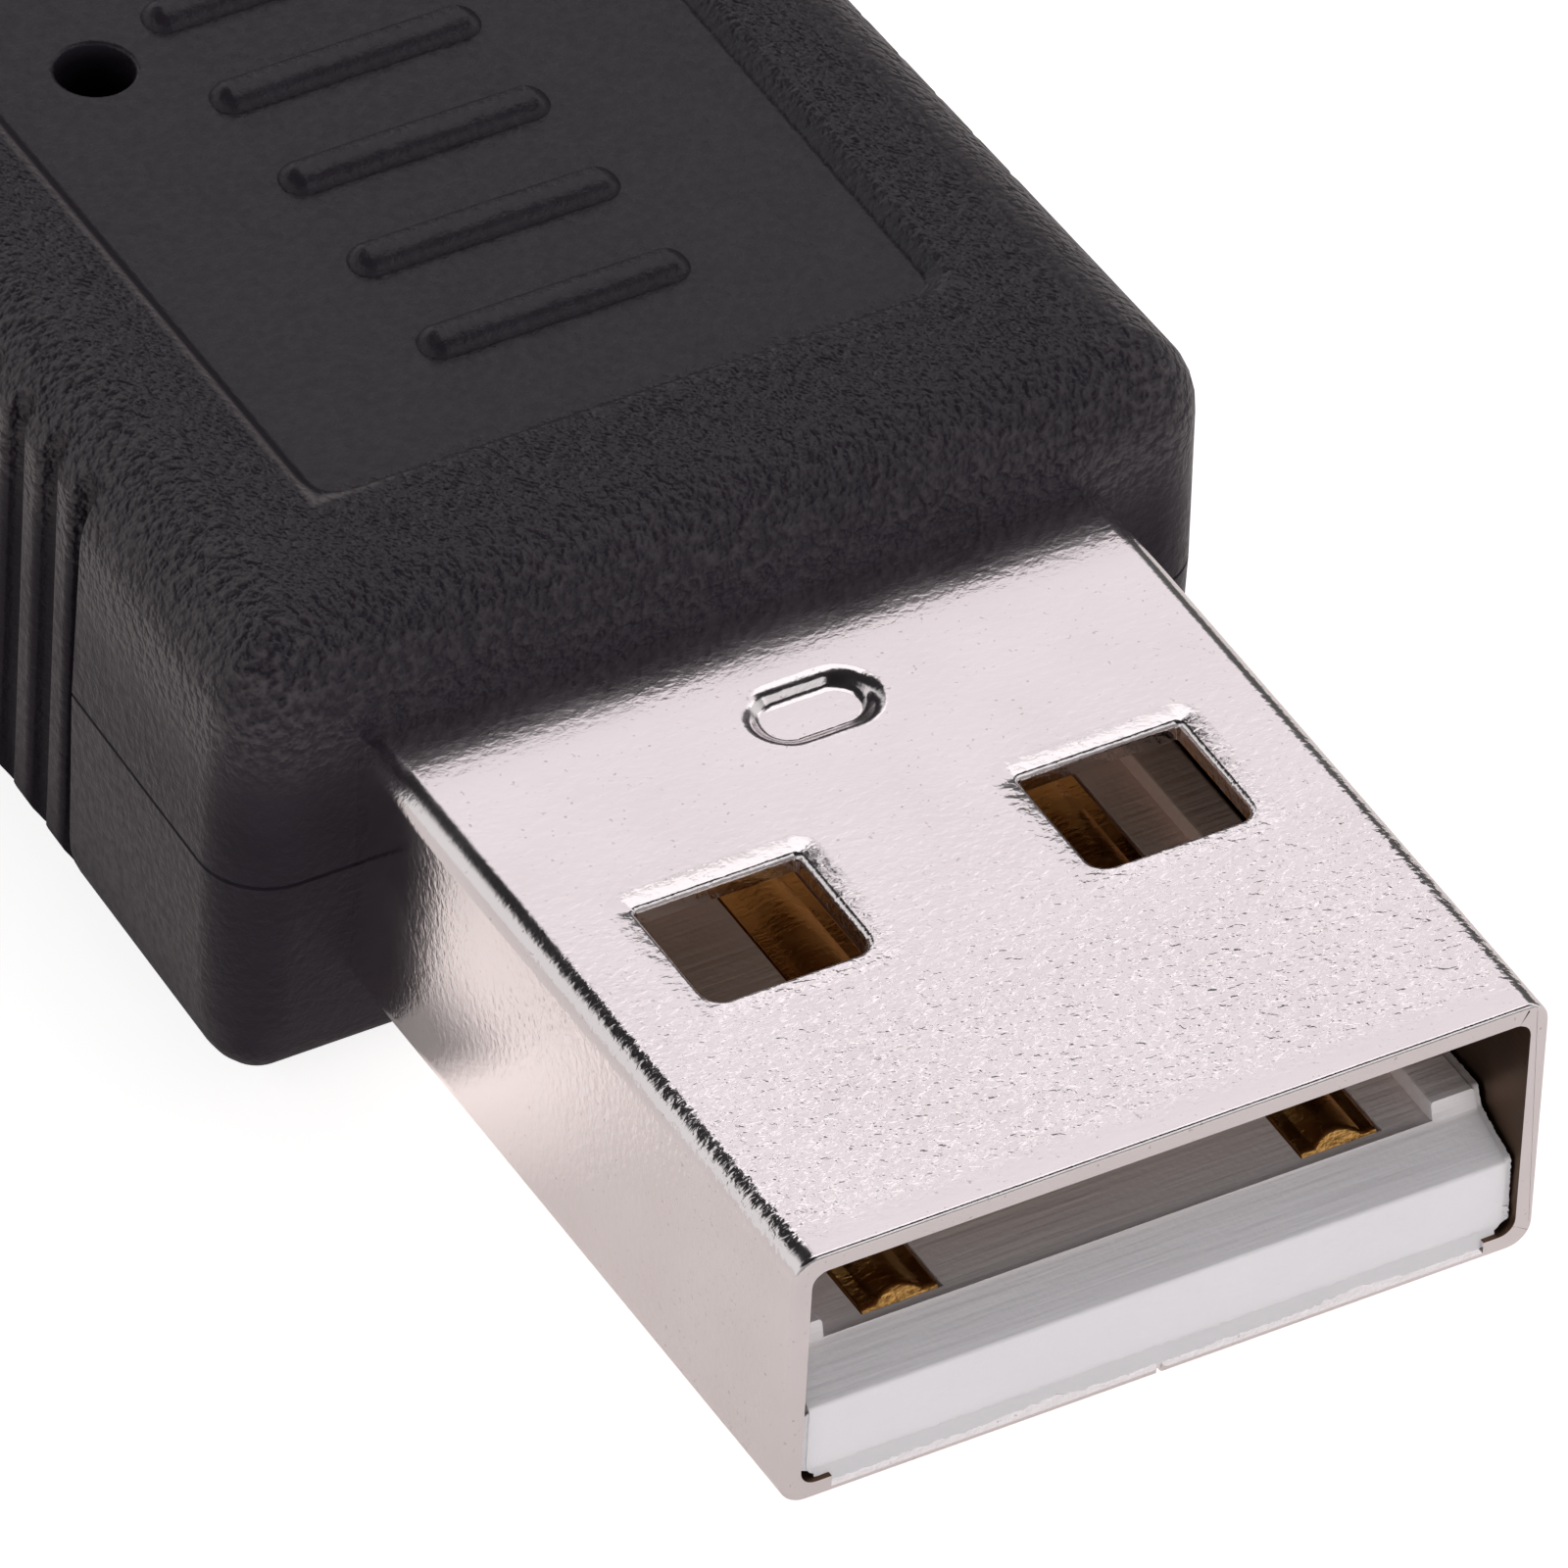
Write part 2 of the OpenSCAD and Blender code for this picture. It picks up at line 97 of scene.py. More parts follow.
mouth_y = shell_low.y
face_y = grip_low.y
rear_y = grip_high.y
shell_w = shell_high.x - shell_low.x
grip_w = grip_high.x - grip_low.x
grip_l = rear_y - face_y
grip_h = grip_high.z - grip_low.z
over = 1.0  # how far a cutting shape runs past what it cuts
print("mouth", round(mouth_y, 3), "grip face", round(face_y, 3), "grip height", round(grip_h, 3))

# %% [markdown]
# ## Working as by hand
#
# Every piece is made with the same few moves: add a block, open it for editing, pick edges
# or faces by their place, and run an operator on them, with one piece alone selected.

# %% Helpers for selecting and adding


def only(piece):
    """Leaves edit mode and selects one piece alone."""
    if bpy.context.object and bpy.context.object.mode != "OBJECT":
        bpy.ops.object.mode_set(mode="OBJECT")
    bpy.ops.object.select_all(action="DESELECT")
    piece.select_set(True)
    bpy.context.view_layer.objects.active = piece


def named(name):
    """Names the new primitive and puts its place into its mesh."""
    piece = bpy.context.object
    piece.name = name
    only(piece)
    bpy.ops.object.transform_apply(location=True, rotation=True, scale=True)
    return piece


def block(name, low, high):
    """A block between two corners."""
    low, high = Vector(low), Vector(high)
    bpy.ops.mesh.primitive_cube_add(size=1, location=(low + high) / 2, scale=high - low)
    return named(name)


def plate(name, centre, width, length):
    """A flat rectangle that faces up."""
    bpy.ops.mesh.primitive_plane_add(size=1, location=centre)
    bpy.context.object.scale = (width, length, 1)
    return named(name)


def rod(name, radius, start, end, sides=48):
    """A round rod between two points on a line along X, Y or Z."""
    start, end = Vector(start), Vector(end)
    bpy.ops.mesh.primitive_cylinder_add(
        vertices=sides,
        radius=radius,
        depth=(end - start).length,
        location=(start + end) / 2,
        rotation=(end - start).to_track_quat("Z", "Y").to_euler(),
    )
    return named(name)


def pick(piece, kind, wanted):
    """Opens a piece for editing with only the wanted vertices, edges or faces selected."""
    only(piece)
    bpy.ops.object.mode_set(mode="EDIT")
    bpy.ops.mesh.select_mode(type=kind)
    bpy.ops.mesh.select_all(action="DESELECT")
    mesh = bmesh.from_edit_mesh(piece.data)
    parts = {"VERT": mesh.verts, "EDGE": mesh.edges, "FACE": mesh.faces}[kind]
    found = [part for part in parts if wanted(part)]
    for part in found:
        part.select_set(True)
    mesh.select_flush_mode()
    bmesh.update_edit_mesh(piece.data)
    return len(found)


def done():
    """Back from editing to the whole piece."""
    bpy.ops.object.mode_set(mode="OBJECT")


def extrude(move):
    """Extrudes what is picked and moves it."""
    bpy.ops.mesh.extrude_region_move(TRANSFORM_OT_translate={"value": move})


def middle(part):
    """The middle of an edge or a face."""
    return sum((corner.co for corner in part.verts), Vector()) / len(part.verts)


def near(value, target, slack=0.002):
    """True if two sizes agree to a few thousandths of a millimetre."""
    return abs(value - target) < slack


def all_at(part, axis, target):
    """True if every corner of an edge or face lies at one place along an axis."""
    return all(near(corner.co[axis], target) for corner in part.verts)


def runs(edge, axis):
    """True if an edge lies along X (0), Y (1) or Z (2)."""
    way = edge.verts[1].co - edge.verts[0].co
    return abs(way[axis]) > 0.999 * way.length


# %% Helpers for rounding, cutting and joining


def round_edges(piece, radius, steps, wanted, kind="EDGE"):
    """Bevels the wanted edges, or the wanted corners of a flat outline, to a radius."""
    count = pick(piece, kind, wanted)
    if count:
        affect = "EDGES" if kind == "EDGE" else "VERTICES"
        bpy.ops.mesh.bevel(offset=radius, segments=steps, affect=affect, clamp_overlap=False)
    done()
    return count


def cut_line(piece, spot, normal, **settings):
    """Cuts a plane through a piece, which leaves a line of edges round it."""
    pick(piece, "VERT", lambda vertex: True)
    bpy.ops.mesh.bisect(plane_co=spot, plane_no=normal, **settings)
    done()


def modify(piece, kind, **settings):
    """Puts a modifier with these settings on a piece and applies it."""
    only(piece)
    modifier = piece.modifiers.new(kind.lower(), kind)
    for key, value in settings.items():
        setattr(modifier, key, value)
    bpy.ops.object.modifier_apply(modifier=modifier.name)


def combine(piece, tool, operation):
    """Joins a tool shape to a piece, or keeps what they share, and removes the tool."""
    modify(piece, "BOOLEAN", operation=operation, object=tool, solver="EXACT")
    bpy.data.objects.remove(tool, do_unlink=True)


def beam(name, low, high, radius, steps):
    """A block whose edges along Y are rounded."""
    piece = block(name, low, high)
    round_edges(piece, radius, steps, lambda edge: runs(edge, 1))
    return piece


def cut(piece, tool):
    """Cuts a tool shape out of a piece."""
    combine(piece, tool, "DIFFERENCE")


def pull_apart(piece, reach):
    """Moves the two halves of a round shape apart along X, which makes it long."""
    for way in (-1, 1):
        pick(piece, "VERT", lambda vertex: vertex.co.x * way > 0.001)
        bpy.ops.transform.translate(value=(way * reach, 0, 0))
        done()


def tidy_mesh(piece):
    """Merges doubles and turns every face outwards."""
    pick(piece, "VERT", lambda vertex: True)
    bpy.ops.mesh.remove_doubles(threshold=0.0005)
    bpy.ops.mesh.normals_make_consistent(inside=False)
    done()


def smooth(piece, degrees=35):
    """Shades round places smooth and keeps the flats flat."""
    only(piece)
    bpy.ops.object.shade_smooth_by_angle(angle=math.radians(degrees))
    modify(piece, "WEIGHTED_NORMAL", keep_sharp=True)


def hand_over(piece, nodes, finish):
    """Scales a piece to metres, gives it its finish and puts it in its nodes' place."""
    only(piece)
    piece.scale = (MM, MM, MM)
    bpy.ops.object.transform_apply(location=True, rotation=True, scale=True)
    piece.data.materials.clear()
    piece.data.materials.append(finish)
    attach(piece, "root")
    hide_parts(*nodes)
    print(piece.name, len(piece.data.polygons), "faces")


# %% [markdown]
# ## Materials
#
# A material starts as a Principled shader, and noise that is read in object space makes its
# grain, as small as it is on the real part. The helpers below only save typing: each adds
# one kind of node to the material that its input comes from.

# %% Helpers for materials


def join(value, socket):
    """Joins an output to an input, or sets the input to a plain number or colour."""
    if isinstance(value, bpy.types.NodeSocket):
        socket.id_data.links.new(value, socket)
    elif socket.type == "RGBA":
        socket.default_value = (*value, 1)
    else:
        socket.default_value = value


def add_node(tree, kind, inputs, **settings):
    """Adds a node to a tree, sets its properties, and joins or sets its inputs."""
    node = tree.nodes.new(kind)
    for key, value in settings.items():
        setattr(node, key, value)
    for name, value in inputs.items():
        join(value, node.inputs[name])
    return node


def new_material(name, metallic=0.0):
    """A Principled material, and the shader node to build on."""
    material = bpy.data.materials.new(name)
    material.use_nodes = True
    shader = material.node_tree.nodes["Principled BSDF"]
    join(metallic, shader.inputs["Metallic"])
    return material, shader


def dress(shader, **looks):
    """Joins or sets the looks of a shader; an underscore stands for a space in a name."""
    for name, value in looks.items():
        join(value, shader.inputs[name.replace("_", " ")])


def place_mm(shader, stretch=(1, 1, 1)):
    """Object coordinates in millimetres, squeezed along an axis where a grain needs it."""
    tree = shader.id_data
    place = add_node(tree, "ShaderNodeTexCoord", {}).outputs["Object"]
    scale = [side / MM for side in stretch]
    return add_node(tree, "ShaderNodeMapping", {"Vector": place, "Scale": scale}).outputs["Vector"]


def split(place):
    """The X, Y and Z of a place."""
    return tuple(add_node(place.id_data, "ShaderNodeSeparateXYZ", {"Vector": place}).outputs)


def noise(place, per_mm, detail=2, twist=0):
    """Noise of so many waves to the millimetre."""
    inputs = {"Vector": place, "Scale": per_mm, "Detail": detail, "Distortion": twist}
    return add_node(place.id_data, "ShaderNodeTexNoise", inputs).outputs["Fac"]


def ramp(value, low, high, start=0.0, end=1.0):
    """Maps low..high to start..end and holds it outside."""
    inputs = {"Value": value, "From Min": low, "From Max": high, "To Min": start, "To Max": end}
    return add_node(value.id_data, "ShaderNodeMapRange", inputs, clamp=True).outputs["Result"]


def calc(operation, first, second=0):
    """One sum on two values, each an output or a number."""
    tree = (second if isinstance(first, (int, float)) else first).id_data
    node = add_node(tree, "ShaderNodeMath", {0: first, 1: second}, operation=operation)
    return node.outputs["Value"]


def distance(value, centre=0):
    """How far a value is from a centre, to either side."""
    return calc("ABSOLUTE", calc("SUBTRACT", value, centre))


def clear_of(first, second):
    """The distance from a box, out of how far a place is past its sides in two directions."""
    squares = [calc("POWER", calc("MAXIMUM", gap, 0), 2) for gap in (first, second)]
    return calc("SQRT", calc("ADD", *squares))


def tint(value, dark, light):
    """A colour between two colours."""
    inputs = {"Factor": value, "A": dark, "B": light}
    return add_node(value.id_data, "ShaderNodeMix", inputs, data_type="RGBA").outputs["Result"]


def emboss(height, depth_mm, under=None):
    """A bump of a real depth, on top of another bump if there is one."""
    inputs = {"Height": height, "Distance": depth_mm * MM}
    if under:
        inputs["Normal"] = under
    return add_node(height.id_data, "ShaderNodeBump", inputs).outputs["Normal"]


# %% [markdown]
# ## Nickel plate on the shell
#
# The shell is stamped from steel strip and nickel plated before it is folded. Its skin has
# short wrinkles that are strongest towards the mouth, where the strip was stretched most,
# and fade towards the grip. A smooth band follows the cut edge of the mouth. Fine pits and
# small dark specks lie all over. The punch has drawn the sheet in round each window, deeper
# towards the back, so the distance from the window's outline scales one more bump.

# %% Nickel plate
window_w = 2.58
window_l = 2.16
window_gap = 3.53
window_setback = 5.16
drawn_reach = 0.42
nickel, nickel_shader = new_material("nickel_plate", 1.0)
nickel_place = place_mm(nickel_shader)
nickel_x, nickel_y, _ = split(nickel_place)
from_mouth = calc("SUBTRACT", nickel_y, mouth_y)
worked_zone = ramp(from_mouth, 3.0, 8.5, 1.0, 0.16)
smooth_band = ramp(from_mouth, 0.25, 0.7, 0.12, 1.0)
peel_strength = calc("MULTIPLY", worked_zone, smooth_band)
wrinkles = noise(place_mm(nickel_shader, (5.5, 8.5, 7.0)), 1.0, twist=0.3)
off_middle = distance(distance(nickel_x), (window_gap + window_w) / 2)
past_side = calc("SUBTRACT", off_middle, window_w / 2)
past_end = calc("SUBTRACT", distance(from_mouth, window_setback + window_l / 2), window_l / 2)
drawn_in = calc("POWER", ramp(clear_of(past_side, past_end), 0.0, drawn_reach, 1.0, 0.0), 1.3)
deeper_behind = ramp(from_mouth, window_setback, window_setback + window_l, -0.40, -1.0)
nickel_bump = emboss(calc("MULTIPLY", wrinkles, peel_strength), 0.026)
nickel_bump = emboss(noise(nickel_place, 22.0), 0.0012, nickel_bump)
nickel_bump = emboss(calc("MULTIPLY", drawn_in, deeper_behind), 0.078, nickel_bump)
stain = noise(nickel_place, 0.7, detail=4)
clean_nickel = tint(stain, (0.75, 0.70, 0.70), (0.84, 0.80, 0.81))
specks = ramp(noise(nickel_place, 11.0, detail=1), 0.70, 0.80, 0.0, 0.45)
dress(
    nickel_shader,
    Base_Color=tint(specks, clean_nickel, (0.30, 0.25, 0.22)),
    Roughness=ramp(stain, 0.3, 0.7, 0.11, 0.18),
    Normal=nickel_bump,
)

# %% [markdown]
# The inside of the folded shell is painted dark, dull and brown: painted shade for the bore,
# where little light reaches.

# %% Inside of the shell, painted dark as shade
painted_shade_nickel, painted_shade_shader = new_material("painted_shade_nickel", 1.0)
inner_stain = noise(place_mm(painted_shade_shader), 1.4, detail=4)
dress(
    painted_shade_shader,
    Base_Color=tint(inner_stain, (0.085, 0.048, 0.027), (0.18, 0.11, 0.07)),
    Roughness=ramp(inner_stain, 0.3, 0.7, 0.34, 0.5),
    Normal=emboss(noise(place_mm(painted_shade_shader, (12, 2, 12)), 1.0), 0.004),
)

# %% [markdown]
# ## Grip vinyl
#
# The grip is moulded in soft PVC against a mould that was roughened by sparks. The grain is
# coarse on the border round the panel and on the roundings, and much finer on the panel and
# on the side walls, where the mould was polished. The rim of the panel, most of all on its
# left, and the tips of the grain along the outer edges are painted pale, as painted highlights.

# %% Grip vinyl
panel_w = 9.9
panel_l = 17.5
panel_setback = 3.1
panel_rim = 0.25
front_edge = face_y + panel_setback
vinyl, vinyl_shader = new_material("spark_grained_vinyl")
vinyl_place = place_mm(vinyl_shader)
vinyl_x, vinyl_y, vinyl_z = split(vinyl_place)
across = distance(vinyl_x)
upper = ramp(vinyl_z, grip_h * 0.70, grip_h * 0.86)
beside_panel = ramp(across, panel_w / 2, panel_w / 2 + 0.5)
before_panel = ramp(vinyl_y, front_edge - 0.6, front_edge + 0.2, 1.0, 0.0)
coarse_zone = calc("MULTIPLY", calc("MAXIMUM", beside_panel, before_panel), upper)
coarse = noise(vinyl_place, 7.0, detail=1.5)
vinyl_bump = emboss(calc("MULTIPLY", coarse, ramp(coarse_zone, 0, 1, 0.14, 1.0)), 0.11)
vinyl_bump = emboss(noise(vinyl_place, 26.0), 0.006, vinyl_bump)

# %% Painted highlights on the rim and on the grain tips
past_side = calc("SUBTRACT", across, panel_w / 2 + panel_rim)
past_end = calc("SUBTRACT", distance(vinyl_y, front_edge + panel_l / 2), panel_l / 2 + panel_rim)
on_rim = ramp(distance(calc("MAXIMUM", past_side, past_end)), 0.02, 0.11, 0.9, 0.0)
on_top = ramp(vinyl_z, grip_h - 0.12, grip_h - 0.02)
# The painted rim highlight is strong on the left, where the light falls, and faint elsewhere.
left_rim = ramp(vinyl_x, -panel_w / 2, -panel_w / 2 + 1.5, 1.0, 0.10)
painted_rim_highlight = calc("MULTIPLY", calc("MULTIPLY", on_rim, on_top), left_rim)
side_edges = ramp(across, panel_w / 2 + 0.2, grip_w / 2 - 0.6, 0.0, 0.50)
front_corner = ramp(vinyl_y, face_y + 0.3, face_y + 2.0, 0.26, 0.0)
painted_edge_sheen = calc("MULTIPLY", calc("MAXIMUM", side_edges, front_corner), upper)
painted_highlights = calc("MAXIMUM", painted_rim_highlight, calc("MULTIPLY", painted_edge_sheen, ramp(coarse, 0.44, 0.74)))
vinyl_tone = tint(noise(vinyl_place, 1.3, detail=3), (0.016, 0.013, 0.018), (0.025, 0.020, 0.028))
dress(
    vinyl_shader,
    # Painted highlights: pale colour on the rim and on the grain tips.
    Base_Color=tint(painted_highlights, vinyl_tone, (0.13, 0.115, 0.12)),
    Roughness=ramp(coarse, 0.35, 0.7, 0.30, 0.42),
    Specular_IOR_Level=ramp(vinyl_z, grip_h * 0.60, grip_h * 0.95, 0.10, 0.30),
    Normal=vinyl_bump,
)

# %% [markdown]
# ## Insulator plastic, gilding, tin and the inner mould
#
# The tongue is milky white polyester. Cutting marks run along its lead-in, so its bump is
# drawn out along X. Deeper in the shell it is painted warmer and darker, as painted shade. The
# contacts are gilded over nickel, with the cross marks of the stamping die and a hammered
# skin. The cans are bright tin, and the inner mould is black polythene.

# %% White plastic
white_plastic, white_shader = new_material("white_plastic")
white_place = place_mm(white_shader)
white_bump = emboss(noise(place_mm(white_shader, (0.35, 9, 9)), 1.0, detail=3), 0.012)
white_tone = tint(noise(white_place, 0.5), (0.85, 0.825, 0.86), (0.91, 0.885, 0.915))
# Painted shade: the plastic turns warmer and darker from the mouth inwards.
painted_depth_shade = ramp(split(white_place)[1], mouth_y + 0.6, mouth_y + 3.4)
dress(
    white_shader,
    Base_Color=tint(painted_depth_shade, white_tone, (0.86, 0.66, 0.56)),
    Roughness=0.38,
    Normal=emboss(noise(white_place, 9.0), 0.004, white_bump),
    Subsurface_Weight=0.25,
    Subsurface_Radius=(0.6, 0.6, 0.65),
    Subsurface_Scale=0.5 * MM,
)

# %% Gilding
gilding, gilding_shader = new_material("gilding", 1.0)
gilding_place = place_mm(gilding_shader)
cross_marks = emboss(noise(place_mm(gilding_shader, (3.5, 16.0, 3.5)), 1.0, twist=0.3), 0.006)
worn = noise(gilding_place, 1.6)
dress(
    gilding_shader,
    Base_Color=tint(worn, (0.62, 0.31, 0.08), (0.88, 0.52, 0.18)),
    Roughness=ramp(worn, 0.3, 0.7, 0.2, 0.36),
    Normal=emboss(noise(gilding_place, 14.0), 0.006, cross_marks),
)

# %% Tin and black polythene
tin, tin_shader = new_material("bright_tin", 1.0)
tin_stain = noise(place_mm(tin_shader), 1.2, detail=4)
dress(
    tin_shader,
    Base_Color=tint(tin_stain, (0.52, 0.51, 0.49), (0.74, 0.73, 0.71)),
    Roughness=ramp(tin_stain, 0.3, 0.7, 0.28, 0.45),
    Normal=emboss(noise(place_mm(tin_shader, (6, 0.8, 6)), 1.0, detail=3), 0.006),
)

polythene, polythene_shader = new_material("black_polythene")
flow = noise(place_mm(polythene_shader, (1, 0.4, 1)), 2.0, detail=4)
dress(
    polythene_shader,
    Base_Color=tint(flow, (0.009, 0.009, 0.010), (0.018, 0.018, 0.019)),
    Roughness=0.45,
    Normal=emboss(flow, 0.01),
)

# %% [markdown]
# ## The shell
#
# The shell is a strip folded into a box with open ends. Here it is an outer block with
# rounded long edges, less an inner one. The windows, the dimple and the seam are cut next,
# and the edges that the press rolls over are rounded last.

# %% Folded tube
sheet = 0.30
bend_r = 0.40
inner_bend_r = 0.25
shell_in_w = shell_w - 2 * sheet
inner_top = shell_high.z - sheet
inner_bottom = shell_low.z + sheet

shell = beam("plug_shell", shell_low, shell_high, bend_r, 8)
bore_low = (-shell_in_w / 2, shell_low.y - over, inner_bottom)
bore_high = (shell_in_w / 2, shell_high.y + over, inner_top)
cut(shell, beam("shell_bore", bore_low, bore_high, inner_bend_r, 6))
print("tube of", len(shell.data.polygons), "faces")

# %% [markdown]
# Each window is punched through both sides at once. The punch is square at the back, where
# the latch of the socket catches, and round at its two front corners.

# %% Latch windows
window_r = 0.28
window_back_r = 0.06
window_front = mouth_y + window_setback
window_back = window_front + window_l

for side in (-1, 1):
    near_x = side * window_gap / 2
    far_x = side * (window_gap / 2 + window_w)
    punch = block(
        "window_punch",
        (min(near_x, far_x), window_front, shell_low.z - over),
        (max(near_x, far_x), window_back, shell_high.z + over),
    )
    for end_y, radius, steps in ((window_front, window_r, 6), (window_back, window_back_r, 3)):
        round_edges(punch, radius, steps, lambda edge: runs(edge, 2) and near(middle(edge).y, end_y))
    cut(shell, punch)
print("windows from", round(window_front, 2), "to", round(window_back, 2))

# %% [markdown]
# The dimple is pressed into the upper side, and makes a bump inside that stops the insulator.
# It is a cone whose two halves are moved apart, which makes a long oval with sloping flanks.
# The same shape is joined to the inside first and then cut from the outside.

# %% Pressed dimple
dimple_l = 2.0
dimple_w = 1.2
dimple_d = 0.20
dimple_setback = 9.95
dimple_y = mouth_y + dimple_setback
dimple_sides = 40


def dimple_shape(name, mouth_z, rise):
    """Long oval with sloping flanks: its mouth at mouth_z, its floor one depth below."""
    mouth_r = dimple_w / 2
    depth = dimple_d + rise
    bpy.ops.mesh.primitive_cone_add(
        vertices=dimple_sides,
        radius1=mouth_r - dimple_d,
        radius2=mouth_r + rise,
        depth=depth,
        location=(0, dimple_y, mouth_z + rise - depth / 2),
        rotation=(0, 0, math.pi / dimple_sides),
    )
    shape = named(name)
    pull_apart(shape, (dimple_l - dimple_w) / 2)
    return shape


combine(shell, dimple_shape("dimple_back", inner_top, sheet / 4), "UNION")
cut(shell, dimple_shape("dimple_front", shell_high.z, sheet))
print("dimple at", round(dimple_y, 2))

# %% [markdown]
# The fold ends in a butt seam along the underside, locked by two dovetails. The seam is a
# line drawn along its path, raised into a ribbon and thickened to the width of the slit.

# %% Dovetailed seam
seam_gap = 0.06
key_w = 1.0
key_l = 1.5
key_rake = 0.2
key_fronts = (mouth_y + 2.4, (face_y + shell_high.y - key_l) / 2)
half_gap = seam_gap / 2

path = [(half_gap, mouth_y - over)]
for key_front in key_fronts:
    key_back = key_front + key_l
    path += [
        (half_gap, key_front - half_gap),
        (key_w + half_gap, key_front - key_rake - half_gap),
        (key_w + half_gap, key_back + key_rake + half_gap),
        (half_gap, key_back + half_gap),
    ]
path.append((half_gap, shell_high.y + over))

slit = plate("seam_slit", (*path[0], shell_low.z - over), 0.1, 0.1)
pick(slit, "VERT", lambda vertex: True)
bpy.ops.mesh.merge(type="CENTER")
for here, there in zip(path, path[1:]):
    extrude((there[0] - here[0], there[1] - here[1], 0))
bpy.ops.mesh.select_all(action="SELECT")
extrude((0, 0, over + 2 * sheet))
done()
modify(slit, "SOLIDIFY", thickness=seam_gap, offset=0, use_even_offset=True)
tidy_mesh(slit)
cut(shell, slit)
print("seam along the underside, faces:", len(shell.data.polygons))

# %% [markdown]
# The press rounds the side of the sheet that it enters and leaves a sharp edge on the other.
# So the rims of the mouth, the windows and the dimple are rounded on the outside only.

# %% Rolled edges
roll = 0.10
lip_r = 0.08
dimple_rim_r = 0.12
dimple_floor_r = 0.08
outside_levels = (shell_low.z, shell_high.z)


def on_window(edge):
    """True for an outside edge of a window."""
    spot = middle(edge)
    in_reach = window_gap / 2 - 0.02 < abs(spot.x) < window_gap / 2 + window_w + 0.02
    in_length = window_front - 0.02 < spot.y < window_back + 0.02
    return in_reach and in_length and any(all_at(edge, 2, level) for level in outside_levels)


def in_bore(spot):
    """True for a place in the bore of the shell or on its walls."""
    return abs(spot.x) < shell_in_w / 2 + 0.01 and inner_bottom - 0.01 < spot.z < inner_top + 0.01


def on_mouth(edge):
    """True for an outside edge of the mouth."""
    return all_at(edge, 1, mouth_y) and not in_bore(middle(edge)) and len(edge.link_faces) == 2


def on_dimple(edge, depth):
    """True for an edge round the dimple at one depth."""
    spot = middle(edge)
    close = abs(spot.x) < dimple_l / 2 + 0.05 and abs(spot.y - dimple_y) < dimple_w / 2 + 0.05
    return close and all_at(edge, 2, shell_high.z - depth)


print("window rims:", round_edges(shell, roll, 3, on_window))
for radius, steps, depth in ((dimple_rim_r, 6, 0), (dimple_floor_r, 4, dimple_d)):
    print("dimple:", round_edges(shell, radius, steps, lambda edge: on_dimple(edge, depth)))
print("mouth rim:", round_edges(shell, lip_r, 4, on_mouth))

# %% [markdown]
# The lower lip has a chamfer inside, cut by a four-sided bar that lies along its edge, and
# the plastic of the tongue later runs over it. The faces that look into the shell get the
# dark material of painted shade as a second material.

# %% Lower lip and the painted shade inside
lip_chamfer = 0.19
lip_end = Vector((shell_in_w / 2 - 2 * inner_bend_r, mouth_y, inner_bottom))
lip_start = Vector((-lip_end.x, mouth_y, inner_bottom))
cut(shell, rod("lip_bar", lip_chamfer, lip_start, lip_end, 4))
smooth(shell)
# Faces inside the bore take the dark material, which is painted shade.
inside_faces = []
for face in shell.data.polygons:
    if in_bore(face.center) and abs(face.normal.y) < 0.1:
        inside_faces.append(face.index)
hand_over(shell, ["shell"], nickel)
shell.data.materials.append(painted_shade_nickel)
for number in inside_faces:
    shell.data.polygons[number].material_index = 1
# Counts the faces in painted shade.
print("faces with thin plating:", len(inside_faces))

# %% [markdown]
# ## The insulator
#
# One moulding fills the back of the shell and reaches forward as the tongue. The free cavity
# over the tongue is cut away as far back as the dimple of the shell, and the flat is cut down
# between the two rails. Two lines are bisected across the front of the tongue, and the
# corners on them are pulled down into the lead-in and the steep nose of the rails. Four
# channels in the flat take the contacts.

# %% Block and tongue
cavity_l = 10.6
cavity_h = 2.0
cavity_back = mouth_y + cavity_l
tongue_top = inner_top - cavity_h
rail_w = 0.70
rail_h = 0.30
rail_nose_l = 0.12
lead_in_h = 0.35
lead_in_l = 0.82
flat_z_tongue = tongue_top - rail_h
long_edge_r = 0.20

insulator = beam("plug_insulator", insulator_low, insulator_high, long_edge_r, 4)
tongue_front = insulator_low.y
for name, margin, level, ceiling in (
    ("cavity", -over, tongue_top, insulator_high.z + over),
    ("recess", rail_w, flat_z_tongue, tongue_top + over),
):
    low = (insulator_low.x + margin, mouth_y - over, level)
    cut(insulator, block(name, low, (insulator_high.x - margin, cavity_back, ceiling)))
rail_y = tongue_front + lead_in_l
for line_y in (rail_y, rail_y + rail_nose_l):
    cut_line(insulator, (0, line_y, 0), (0, 1, 0))
for line_y, level, fall in (
    (tongue_front, flat_z_tongue, lead_in_h),
    (tongue_front, tongue_top, rail_h + lead_in_h),
    (rail_y, tongue_top, rail_h),
):
    pick(insulator, "VERT", lambda vertex: near(vertex.co.y, line_y) and near(vertex.co.z, level))
    bpy.ops.transform.translate(value=(0, 0, -fall))
    done()
tidy_mesh(insulator)
print("rails at", round(tongue_top, 2), "flat at", round(flat_z_tongue, 2))

